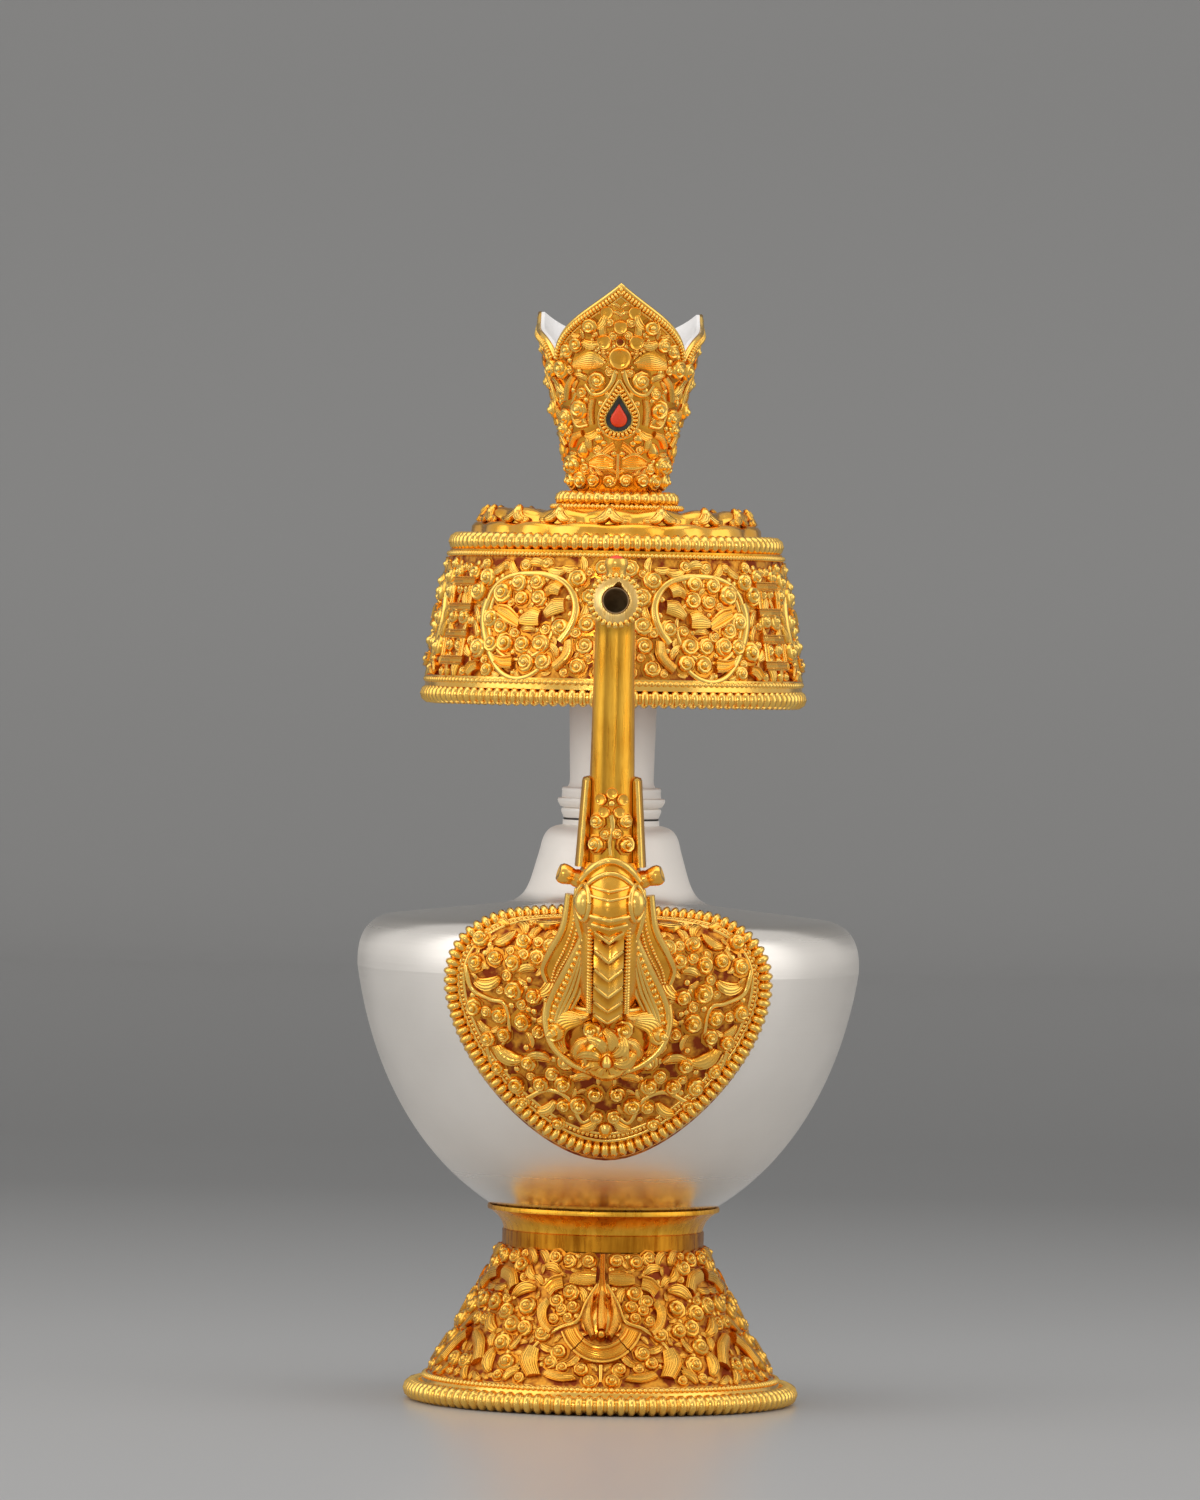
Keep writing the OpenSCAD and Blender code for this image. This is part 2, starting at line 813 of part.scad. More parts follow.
module spout_jewel()
    color(coral_red)
    translate([0, -jewel_foot[0], jewel_z])
    sphere(r = jewel_r - solder_gap);

module seal_washer()
    color(hide)
    translate([0, 0, z_seal])
    difference() {
        cylinder(r = flange_r - seal_in, h = seal_t);
        translate([0, 0, -over]) cylinder(r = spigot_r + 2 * spigot_gap, h = seal_t + 2 * over);
    }

module neck_spigot()
    color(silver)
    translate([0, 0, z_rings - spigot_l])
    difference() {
        cylinder(r = spigot_r, h = z_neck - z_rings + spigot_l);
        translate([0, 0, -over]) cylinder(r = bore_r, h = z_neck - z_rings + spigot_l + 2 * over);
    }

// Profile of one neck ring of outer radius r, standing at height z
function ring_profile(r, z) = [
    [r - ring_groove, z],
    [r - ring_groove / 6, z + ring_h * 0.25],
    [r, z + ring_h * 0.5],
    [r - ring_groove / 6, z + ring_h * 0.75],
    [r - ring_groove, z + ring_h]
];

module neck_moulding()
    color(silver)
    spun(concat(
        [[spigot_r, z_rings]],
        ring_profile(ring_r - ring_step, z_rings),
        ring_profile(ring_r, z_rings + ring_h),
        ring_profile(ring_r - ring_step, z_rings + 2 * ring_h),
        [[spigot_r, z_neck]]
    ));

module neck_tube()
    color(silver)
    difference() {
        spun([[0, z_neck], [neck_r, z_neck], [neck_top_r, z_skirt], [neck_top_r, z_hub], [0, z_hub]]);
        translate([0, 0, z_neck - over]) cylinder(r = bore_r, h = z_hub - z_neck + 2 * over);
    }

module canopy_plate()
    color(gilt)
    translate([0, 0, z_plate])
    difference() {
        cylinder(r = skirt_top_r, h = plate_t);
        translate([0, 0, -over]) cylinder(r = neck_top_r, h = plate_t + 2 * over);
    }

// Section of the skirt's cone between two depths from its outer face
module skirt_section(d0, d1)
    polygon([
        [skirt_r - d0, z_skirt],
        [skirt_top_r - d0, z_plate],
        [skirt_top_r - d1, z_plate],
        [skirt_r - d1, z_skirt]
    ]);

medals = 6;

// What stands out of the skirt, drawn round the middle of its front
module on_skirt()
    translate([0, medal_r * 0.6 - (skirt_r + skirt_top_r) / 2, z_skirt + skirt_h / 2])
    rotate([90, 0, 0])
    linear_extrude(height = medal_r * 1.2)
    children();

module medallion() {
    difference() {
        circle(r = medal_r);
        circle(r = medal_r - medal_w);
    }
    circle(d = curl_d);
    for (i = [0:5])
        rotate(i * 60) translate([medal_r * 0.58, 0]) circle(d = curl_d * 0.9);
    for (side = [-1, 1], end = [-1, 1])
        translate([side * medal_r, end * medal_r * 0.82]) circle(d = curl_d * 0.9);
}

module fret() {
    for (i = [-1:1])
        translate([0, i * fret_w * 3]) square([fret_l, fret_w], center = true);
    square([fret_w, fret_w * 8], center = true);
}

module canopy_skirt()
    color(gilt)
    union() {
        rotate_extrude() skirt_section(0, skirt_wall);
        intersection() {
            rotate_extrude()
            intersection() {
                skirt_section(-scroll_h, skirt_wall / 2);
                translate([0, z_skirt + 2 * fine_d]) square([far, skirt_h - 3 * fine_d]);
            }
            for (k = [0:medals - 1]) {
                rotate([0, 0, (k + 0.5) * 360 / medals]) on_skirt() medallion();
                rotate([0, 0, k * 360 / medals]) on_skirt() fret();
            }
        }
    }

module canopy_lining()
    color(lacquer)
    rotate_extrude()
    skirt_section(skirt_wall, skirt_wall + lining_wall);

module canopy_top_beads()
    color(gilt)
    rotate_extrude()
    difference() {
        wire(rim_r, z_lotus + rim_d / 2 - seat, rim_d);
        square([far, z_lotus]);
    }

module canopy_top_fine_beads()
    color(gilt)
    rotate_extrude()
    difference() {
        wire(skirt_top_r + seat / 6, z_plate + plate_t * 0.4, fine_d);
        square([skirt_top_r, z_lotus]);
        skirt_section(0, skirt_wall);
    }

module canopy_bottom_beads()
    color(gilt)
    rotate_extrude()
    difference() {
        wire(skirt_r - rim_d * 0.2, z_skirt - rim_d / 2 + seat, rim_d);
        translate([0, z_skirt]) square([far, far]);
    }

module canopy_bottom_fine_beads()
    color(gilt)
    rotate_extrude()
    difference() {
        wire(skirt_r, z_skirt + fine_d * 1.2, fine_d);
        skirt_section(0, skirt_wall);
    }

// A ring of round petals that reaches out to radius r
module petal_ring(r, turn) {
    petal_r = r * sin(180 / petals) * 1.1;
    difference() {
        union() {
            circle(r = r - petal_r);
            for (i = [0:petals - 1])
                rotate(turn + i * 360 / petals)
                translate([r - petal_r, 0])
                circle(r = petal_r);
        }
        circle(r = hub_r);
    }
}

module lotus_lower()
    color(gilt)
    translate([0, 0, z_lotus])
    linear_extrude(height = lotus_low_h)
    petal_ring(lotus_r, 180 / petals - 90);

module lotus_upper()
    color(gilt)
    translate([0, 0, z_lotus_up])
    linear_extrude(height = lotus_up_h)
    petal_ring(lotus_r - lotus_step, -90);

module canopy_hub()
    color(gilt)
    translate([0, 0, z_lotus])
    difference() {
        cylinder(r = hub_r, h = z_hub - z_lotus);
        translate([0, 0, -over]) cylinder(r = neck_top_r, h = z_hub - z_lotus + 2 * over);
    }

module hub_beads()
    color(gilt)
    rotate_extrude()
    difference() {
        wire(hub_r + fine_d / 2, z_lotus_top + fine_d * 0.4, fine_d);
        square([hub_r, z_hub + fine_d]);
        square([far, z_lotus_top]);
    }

crown_rim_r = crown_foot + crown_rim_gap + crown_rim_d / 2;

module crown_base_beads()
    color(gilt)
    rotate_extrude()
    difference() {
        wire(crown_rim_r, z_hub + crown_rim_d * 0.45, crown_rim_d);
        square([far, z_hub]);
    }

// Radius of the crown over its height, at a distance d outside the liner
function crown_path(d) = concat(
    [[crown_foot + d, z_hub]],
    bezier(
        [crown_foot + d, z_hub + crown_h * 0.06],
        [crown_foot * 1.37 + d, z_hub + crown_h * 0.3],
        [crown_flare * 0.755 + d, z_hub + crown_h * 0.6],
        [crown_flare + d, z_peak],
        8
    )
);

module crown_form(d) spun(concat([[0, z_hub]], crown_path(d), [[0, z_peak]]));

crown_reach = 2 * crown_flare;

// Outline of a petal up to a peak at height z, set in by inset
function petal_half(z, inset) =
    let (w = petal_w - inset, notch = z_peak - notch_d)
        concat(
            [[crown_reach, z_hub - inset], [crown_reach, notch - notch_d * 0.1], [w * 1.02, notch]],
            bezier(
                [w, notch + notch_d * 0.1],
                [w, notch + notch_d * 0.55],
                [w * 0.5, z - notch_d * 0.35 - inset],
                [0, z - inset]
            )
        );

// One third of the crown's room and lap degrees more at each side, cut to a petal's outline
module petal_prism(z, inset, lap)
    intersection() {
        rotate([90, 0, 0])
        linear_extrude(height = far)
        polygon(concat(petal_half(z, inset), rest(mirrored(petal_half(z, inset)))));
        linear_extrude(height = 2 * z_peak)
        polygon([
            [0, 0],
            [-far, -far * tan(30 - lap)],
            [-far, -far],
            [far, -far],
            [far, -far * tan(30 - lap)]
        ]);
    }

// Room of petal k, the three counted round from the front
module petal_room(k, inset = 0, lap = 0)
    rotate([0, 0, 120 * k])
    petal_prism(k == 0 ? z_peak : z_peak - side_drop, inset, lap);

liner_lap = 2;

module crown_liner()
    color(silver)
    intersection() {
        difference() {
            crown_form(0);
            crown_form(-liner_t);
        }
        union() {
            for (k = [0:2]) petal_room(k, lap = liner_lap);
        }
    }

z_petal = z_hub + crown_rim_d;

module crown_petal(k)
    color(gilt)
    intersection() {
        difference() {
            crown_form(petal_t);
            crown_form(0);
            cylinder(r = far, h = z_petal);
        }
        petal_room(k);
    }

module crown_petal_front() crown_petal(0);
module crown_petal_right() crown_petal(1);
module crown_petal_left() crown_petal(2);

module crown_edge_beads()
    color(gilt)
    for (k = [0:2])
        intersection() {
            difference() {
                crown_form(petal_t + edge_h);
                crown_form(petal_t);
                cylinder(r = far, h = z_peak - notch_d * 0.9);
            }
            difference() {
                petal_room(k);
                petal_room(k, edge_w);
            }
        }

// Radius of the petals' outer face at a height above the hub
function face_at(h) = lookup(z_hub + h, [for (p = crown_path(petal_t)) [p[1], p[0]]]);
function lean_at(h) = atan2(face_at(h + petal_t) - face_at(h - petal_t), 2 * petal_t);
petal_sink = 2.5 * petal_t;

// What stands out of each petal at a height above the hub, cut to seat on its face
module on_petals(h, rise)
    difference() {
        for (k = [0:2])
            rotate([0, 0, 120 * k])
            translate([0, -face_at(h), z_hub + h])
            rotate([90 + lean_at(h), 0, 0])
            translate([0, 0, -petal_sink])
            linear_extrude(height = petal_sink + rise)
            children();
        crown_form(petal_t);
    }

setting_out_w = coral_w + 2 * setting_w;
frame_out_w = setting_out_w + 2 * frame_w;

module coral_frames()
    color(gilt)
    on_petals(coral_z, coral_rise * 0.5)
    difference() {
        drop(frame_out_w);
        drop(setting_out_w);
    }

module coral_settings()
    color(onyx)
    on_petals(coral_z, coral_rise * 0.7)
    difference() {
        drop(setting_out_w);
        drop(coral_w);
    }

module corals()
    color(coral_red)
    on_petals(coral_z, coral_rise)
    drop(coral_w);

rosette_petals = 4;

module crown_rosettes()
    color(gilt)
    on_petals(rosette_z, edge_h)
    union() {
        circle(r = rosette_r * 0.5);
        for (i = [0:rosette_petals - 1])
            rotate(90 + i * 360 / rosette_petals)
            translate([rosette_r * 0.6, 0])
            circle(r = rosette_r * 0.4);
    }

foot_shell();
foot_rim_beads();
foot_fine_beads();
foot_collar();
bowl_cup();
bowl();
shoulder();
neck_dome();
neck_socket();
spout_plate();
spout_plate_beads();
makara_mane();
makara_neck();
makara_belly();
makara_head();
makara_eyes();
makara_ears();
spout_sheath();
spout_root();
spout_elbow();
spout_tube();
spout_tip();
nozzle_lip();
nozzle_beads();
spout_jewel_cup();
spout_jewel();
seal_washer();
neck_spigot();
neck_moulding();
neck_tube();
canopy_plate();
canopy_skirt();
canopy_lining();
canopy_top_beads();
canopy_top_fine_beads();
canopy_bottom_beads();
canopy_bottom_fine_beads();
lotus_lower();
lotus_upper();
canopy_hub();
hub_beads();
crown_base_beads();
crown_liner();
crown_petal_front();
crown_petal_right();
crown_petal_left();
crown_edge_beads();
crown_rosettes();
coral_frames();
coral_settings();
corals();
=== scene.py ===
import bisect
import json
import math
import random

import bmesh
import bpy
from mathutils import Matrix, Vector

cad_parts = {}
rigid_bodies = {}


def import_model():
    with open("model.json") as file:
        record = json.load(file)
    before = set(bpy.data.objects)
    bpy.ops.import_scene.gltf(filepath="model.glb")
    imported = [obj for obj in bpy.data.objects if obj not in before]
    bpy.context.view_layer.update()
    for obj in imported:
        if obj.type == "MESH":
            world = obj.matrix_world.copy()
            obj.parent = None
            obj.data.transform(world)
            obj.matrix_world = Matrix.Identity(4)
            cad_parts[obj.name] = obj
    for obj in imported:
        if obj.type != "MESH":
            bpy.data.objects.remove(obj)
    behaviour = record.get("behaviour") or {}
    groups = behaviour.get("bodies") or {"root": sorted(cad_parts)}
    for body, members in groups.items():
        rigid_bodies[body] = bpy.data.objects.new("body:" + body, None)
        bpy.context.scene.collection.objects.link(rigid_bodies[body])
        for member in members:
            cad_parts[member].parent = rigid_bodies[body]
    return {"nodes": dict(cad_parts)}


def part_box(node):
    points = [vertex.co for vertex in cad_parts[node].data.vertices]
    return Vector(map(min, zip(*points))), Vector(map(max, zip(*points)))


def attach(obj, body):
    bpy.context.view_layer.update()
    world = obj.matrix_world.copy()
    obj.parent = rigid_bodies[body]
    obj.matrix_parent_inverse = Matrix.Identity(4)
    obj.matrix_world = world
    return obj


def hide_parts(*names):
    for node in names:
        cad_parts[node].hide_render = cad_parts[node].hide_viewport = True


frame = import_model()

scene = bpy.context.scene
scene.view_settings.view_transform = "Standard"
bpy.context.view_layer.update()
mm = 0.001


def low(node):
    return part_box(node)[0] / mm


def high(node):
    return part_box(node)[1] / mm


# Heights of the stack, read from the frame in millimetres
zCollar = low("foot_collar").z
zCup = high("foot_collar").z
zSeat = low("bowl").z
zLip = high("bowl_cup").z
zGirth = high("bowl").z
zDome = low("neck_dome").z
zFlange = high("neck_dome").z
zRings = low("neck_moulding").z
zNeck = high("neck_moulding").z
zSkirt = low("canopy_skirt").z
zPlate = high("canopy_skirt").z
zLotus = low("lotus_lower").z
zLotusUp = low("lotus_upper").z
zLotusTop = high("lotus_upper").z
zHub = low("crown_liner").z
zPeak = high("crown_liner").z
print("frame read", len(frame["nodes"]), "nodes")


class Link:  # one socket of a node graph, so that sums can be written as sums
    def __init__(self, graph, socket):
        self.graph = graph
        self.socket = socket

    def math(self, operation, first, second):
        return self.graph.add("ShaderNodeMath", {"operation": operation}, {0: first, 1: second})

    def __add__(self, other):
        return self.math("ADD", self, other)

    def __radd__(self, other):
        return self.math("ADD", other, self)

    def __sub__(self, other):
        return self.math("SUBTRACT", self, other)

    def __rsub__(self, other):
        return self.math("SUBTRACT", other, self)

    def __mul__(self, other):
        return self.math("MULTIPLY", self, other)

    def __rmul__(self, other):
        return self.math("MULTIPLY", other, self)

    def wave(self):
        return self.math("SINE", self, 0.0)

    def fitted(self, start, end, low=0.0, high=1.0):
        limits = {0: self, 1: start, 2: end, 3: low, 4: high}
        return self.graph.add("ShaderNodeMapRange", {"clamp": True}, limits)


class Graph:  # a node tree that is written one call per node
    def __init__(self, tree):
        self.tree = tree

    def add(self, kind, settings=None, sockets=None, out=0):
        node = self.tree.nodes.new(kind)
        for key, value in (settings or {}).items():
            setattr(node, key, value)
        for key, value in (sockets or {}).items():
            if isinstance(value, Link):
                self.tree.links.new(value.socket, node.inputs[key])
            else:
                node.inputs[key].default_value = value
        return Link(self, node.outputs[out]) if node.outputs else node

    def place(self):
        return self.add("ShaderNodeTexCoord", out="Object")

    def noise(self, scale, detail=3.0, stretch=(1, 1, 1)):
        place = self.add("ShaderNodeMapping", {}, {"Vector": self.place(), "Scale": stretch})
        return self.add("ShaderNodeTexNoise", {}, {"Vector": place, "Scale": scale, "Detail": detail})

    def along(self, axis):
        return self.add("ShaderNodeSeparateXYZ", {}, {0: self.place()}, out=axis)

    def attribute(self, name):
        return self.add("ShaderNodeAttribute", {"attribute_name": name}, out="Fac")

    def blend(self, share, first, second):
        colours = {0: share}
        for key, colour in ((6, first), (7, second)):
            colours[key] = colour if isinstance(colour, Link) else (*colour, 1.0)
        return self.add("ShaderNodeMix", {"data_type": "RGBA"}, colours, out=2)

    def bump(self, height, strength, distance):
        return self.add("ShaderNodeBump", {}, {"Strength": strength, "Distance": distance, "Height": height})

    def surface(self, **sockets):
        plain = {key.replace("_", " "): value for key, value in sockets.items()}
        return self.add("ShaderNodeBsdfPrincipled", {}, plain)


def finish(name, build):
    material = bpy.data.materials.new(name)
    material.use_nodes = True
    material.node_tree.nodes.clear()
    graph = Graph(material.node_tree)
    graph.add("ShaderNodeOutputMaterial", {}, {"Surface": build(graph)})
    return material


# tones of the painted light on the gilding: deep is painted shade in the hollows, bright a painted highlight
# on top
goldTones = {"deep": (0.40, 0.11, 0.012), "mid": (0.98, 0.45, 0.042), "bright": (1.0, 0.64, 0.15)}
# a darker copy of the gold tones: painted shade on the foot, which gets less light than the parts above
footTones = {"deep": (0.34, 0.085, 0.008), "mid": (0.80, 0.33, 0.026), "bright": (0.92, 0.51, 0.09)}
# colour of a painted dark reflection on the spout tube
brownStain = (0.30, 0.14, 0.015)


def gildedRelief(tones):  # chased gilding with painted light: painted shade, red-brown, in the hollows and a painted highlight, yellow, on the high points
    def build(graph):
        # each point's painted light level: low in the hollows, high on the raised parts
        height = graph.attribute("relief")
        patch = graph.noise(190, 4)
        tone = height + (patch - 0.5) * 0.6
        colour = graph.blend(tone.fitted(0.05, 0.5), tones["deep"], tones["mid"])
        colour = graph.blend(tone.fitted(0.45, 0.95), colour, tones["bright"])
        grain = graph.noise(2300, 2)
        lines = (graph.attribute("hatch") * math.tau).wave()
        normal = graph.bump(grain * 0.2 + lines, 0.32, 0.00025)
        rough = graph.noise(700, 3).fitted(0.3, 0.7, 0.13, 0.3)
        return graph.surface(Base_Color=colour, Metallic=1.0, Roughness=rough, Normal=normal)
    return build


def burnished(deep, bright):  # drawn and burnished gilding with scuffs along the metal
    def build(graph):
        streak = graph.noise(60, 5, (14, 14, 1.5))
        patch = graph.noise(130, 4)
        tone = (streak * 0.6 + patch * 0.4).fitted(0.36, 0.64)
        colour = graph.blend(tone, deep, bright)
        # painted reflection: a dark band is painted where a piece carries it
        colour = graph.blend(graph.attribute("stain"), colour, brownStain)
        fine = graph.noise(420, 3, (9, 9, 1))
        normal = graph.bump(fine, 0.25, 0.0002)
        rough = streak.fitted(0.3, 0.7, 0.2, 0.42)
        return graph.surface(Base_Color=colour, Metallic=1.0, Roughness=rough, Normal=normal)
    return build


def redGround(graph):  # lacquer rubbed into the chased ground, with gold left on it
    patch = graph.noise(330, 4)
    colour = graph.blend(patch.fitted(0.42, 0.6), (0.28, 0.05, 0.014), (0.82, 0.36, 0.042))
    grain = graph.noise(1500, 3)
    normal = graph.bump(grain, 0.5, 0.0003)
    return graph.surface(Base_Color=colour, Metallic=patch.fitted(0.4, 0.6, 0.5, 0.95), Roughness=0.45,
                         Specular_IOR_Level=0.0, Normal=normal)


def brushed(smooth, dull, bloom):  # lathe-brushed silver, its bloom rubbed off the shoulder and low down
    def build(graph):
        ring = graph.noise(90, 4, (0.35, 0.35, 26))
        cloud = graph.noise(28, 4)
        colour = graph.blend(cloud.fitted(0.35, 0.68), (0.88, 0.83, 0.765), (0.96, 0.91, 0.845))
        normal = graph.bump(ring, 0.1, 0.0002)
        rough = (ring * 0.5 + cloud * 0.5).fitted(0.35, 0.65, smooth, dull)
        z = graph.along("Z")
        rubbed = z.fitted((zGirth + 5) * mm, (zDome - 3) * mm) - z.fitted(zDome * mm, (zDome + 3) * mm)
        rubbed = rubbed + z.fitted((zSeat + 16) * mm, (zSeat + 6) * mm)
        rough = rough + rubbed * (0.19 - rough)
        metal = rubbed.fitted(0, 1, bloom, 1.0)
        return graph.surface(Base_Color=colour, Metallic=metal, Roughness=rough, Normal=normal)
    return build


def frostedSilver(graph):  # pickled white silver inside the crown
    cloud = graph.noise(160, 4)
    colour = graph.blend(cloud.fitted(0.3, 0.7), (0.84, 0.81, 0.785), (0.95, 0.93, 0.915))
    normal = graph.bump(graph.noise(1400, 3), 0.3, 0.0002)
    return graph.surface(Base_Color=colour, Metallic=0.45, Roughness=0.6, Normal=normal)


def polishedCoral(graph):
    cloud = graph.noise(420, 3)
    colour = graph.blend(cloud.fitted(0.3, 0.7), (0.86, 0.045, 0.014), (0.98, 0.095, 0.03))
    rough = graph.noise(1800, 2).fitted(0.3, 0.7, 0.2, 0.34)
    return graph.surface(Base_Color=colour, Roughness=rough, Specular_IOR_Level=0.3, Coat_Weight=0.1)


def blackStone(graph):
    cloud = graph.noise(500, 3)
    colour = graph.blend(cloud.fitted(0.35, 0.7), (0.014, 0.016, 0.015), (0.05, 0.054, 0.048))
    return graph.surface(Base_Color=colour, Roughness=cloud.fitted(0.3, 0.7, 0.18, 0.34))


def waxedHide(graph):
    grain = graph.noise(900, 5)
    colour = graph.blend(grain.fitted(0.35, 0.7), (0.012, 0.009, 0.006), (0.05, 0.036, 0.024))
    return graph.surface(Base_Color=colour, Roughness=0.6, Normal=graph.bump(grain, 0.4, 0.0002))


# light brown painted inside the bore: painted light where the bore lies in shade
def sootyBore(graph):
    patch = graph.noise(500, 3)
    colour = graph.blend(patch.fitted(0.3, 0.7), (0.30, 0.19, 0.085), (0.52, 0.36, 0.18))
    return graph.surface(Base_Color=colour, Metallic=0.3, Roughness=0.6)


gold = finish("gildedRelief", gildedRelief(goldTones))
goldFoot = finish("gildedFoot", gildedRelief(footTones))
goldPlain = finish("gildedPlain", burnished((0.76, 0.32, 0.02), (1.0, 0.54, 0.06)))
# a darker copy of the burnished gold: painted shade on the collar under the flared cup
goldCollar = finish("gildedCollar", burnished((0.36, 0.11, 0.005), (0.68, 0.29, 0.02)))
# a paler gold for the nozzle lip: painted reflection on its face
goldWorn = finish("gildedWorn", burnished((0.98, 0.58, 0.15), (1.0, 0.74, 0.30)))
ground = finish("redGround", redGround)
silver = finish("satinSilver", brushed(0.33, 0.44, 0.74))
silverDull = finish("mattSilver", brushed(0.48, 0.6, 0.3))
silverWhite = finish("frostedSilver", frostedSilver)
coral = finish("polishedCoral", polishedCoral)
onyx = finish("blackStone", blackStone)
hide = finish("waxedHide", waxedHide)
bore = finish("sootyBore", sootyBore)
print("finishes made")


def stops(start, span, steps):  # even steps from a start over a span
    return [start + span * i / steps for i in range(steps + 1)]


def fullTurn(steps):  # angles round a circle, in radians
    return [math.tau * i / steps for i in range(steps)]


def arc(start, sweep, steps):  # angles of an arc given in degrees
    return [math.radians(angle) for angle in stops(start, sweep, steps)]


def polar(r, a):
    return r * math.cos(a), r * math.sin(a)


def wrapped(angle):
    return (angle + 180) % 360 - 180


def hump(x, middle, width):
    return math.exp(-((x - middle) / width) ** 2)


def narrowed(near, far, holds, steps):  # closes in on where a test stops holding
    for i in range(steps):
        middle = (near + far) / 2
        if holds(middle):
            near = middle
        else:
            far = middle
    return near, far


def bezier(a, b, c, d, steps=20):
    out = []
    for i in range(steps + 1):
        t = i / steps
        s = 1 - t
        out.append(tuple(s**3 * p + 3 * s * s * t * q + 3 * s * t * t * r + t**3 * w
                         for p, q, r, w in zip(a, b, c, d)))
    return out


def offset(path, distance):  # a flat path moved to its right
    out = []
    for i, (x, y) in enumerate(path):
        ahead, behind = path[min(i + 1, len(path) - 1)], path[max(i - 1, 0)]
        dx, dy = ahead[0] - behind[0], ahead[1] - behind[1]
        size = math.hypot(dx, dy)
        out.append((x + distance * dy / size, y - distance * dx / size))
    return out


def smoothLine(points, steps=8):  # a curve through a few chosen points
    out = []
    for i in range(len(points) - 1):
        p0, p1 = points[max(i - 1, 0)], points[i]
        p2, p3 = points[i + 1], points[min(i + 2, len(points) - 1)]
        for k in range(steps):
            t = k / steps
            out.append(tuple(0.5 * (2 * b + (c - a) * t + (2 * a - 5 * b + 4 * c - d) * t * t
                                    + (3 * b - a - 3 * c + d) * t**3) for a, b, c, d in zip(p0, p1, p2, p3)))
    return out + [tuple(points[-1])]


def newMesh(name, verts, faces, floats=None, edges=()):
    mesh = bpy.data.meshes.new(name)
    mesh.from_pydata([Vector(v) * mm for v in verts], list(edges), faces)
    for label, values in (floats or {}).items():
        kind = "FLOAT_VECTOR" if isinstance(values[0], (tuple, Vector)) else "FLOAT"
        layer = mesh.attributes.new(label, kind, "POINT")
        for item, value in zip(layer.data, values):
            if kind == "FLOAT":
                item.value = value
            else:
                item.vector = value
    return mesh


def closeUp(mesh, sharp=38):  # merge seams and poles, turn faces outwards, keep hard corners
    bm = bmesh.new()
    bm.from_mesh(mesh)
    bmesh.ops.remove_doubles(bm, verts=bm.verts, dist=1e-6)
    bmesh.ops.recalc_face_normals(bm, faces=bm.faces)
    bm.to_mesh(mesh)
    bm.free()
    mesh.polygons.foreach_set("use_smooth", [True] * len(mesh.polygons))
    mesh.set_sharp_from_angle(angle=math.radians(sharp))
    return mesh


def skin(name, verts, faces, relief, sharp=38):  # a closed mesh with one painted light level all over it
    return closeUp(newMesh(name, verts, faces, {"relief": [relief] * len(verts)}), sharp)


def dress(name, mesh, material, body, nodes=()):
    piece = bpy.data.objects.new(name, mesh)
    scene.collection.objects.link(piece)
    if material is not None:
        mesh.materials.clear()
        mesh.materials.append(material)
    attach(piece, body)
    if nodes:
        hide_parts(*nodes)
    return piece


def quads(rows, count, closed=True):  # faces between neighbouring rows of points, each row a loop
    faces, after = [], [(k + 1) % count for k in range(count)]
    for i in range(rows if closed else rows - 1):
        here, there = i * count, (i + 1) % rows * count
        faces += [(here + k, here + m, there + m, there + k) for k, m in enumerate(after)]
    return faces


def swept(sections):  # closed skin over a row of closed sections
    verts = [p for section in sections for p in section]
    count = len(sections[0])
    faces = quads(len(sections), count, False)
    faces += [tuple(range(count))[::-1], tuple(range(len(verts) - count, len(verts)))]
    return verts, faces


def joined(*parts):
    verts, faces = [], []
    for more, skinFaces in parts:
        start = len(verts)
        verts += more
        faces += [tuple(start + i for i in face) for face in skinFaces]
    return verts, faces


def spun(name, profile, steps, relief, sharp):  # a skin of revolution, its profile given at each angle
    verts = [(r * math.sin(a), -r * math.cos(a), z) for a in fullTurn(steps) for r, z in profile(a)]
    return skin(name, verts, quads(steps, len(verts) // steps), relief, sharp)


def turned(name, outline, material, body, nodes=(), steps=160, sharp=38):
    # turned pieces get painted light level 0.8
    return dress(name, spun(name, lambda a: outline, steps, 0.8, sharp), material, body, nodes)


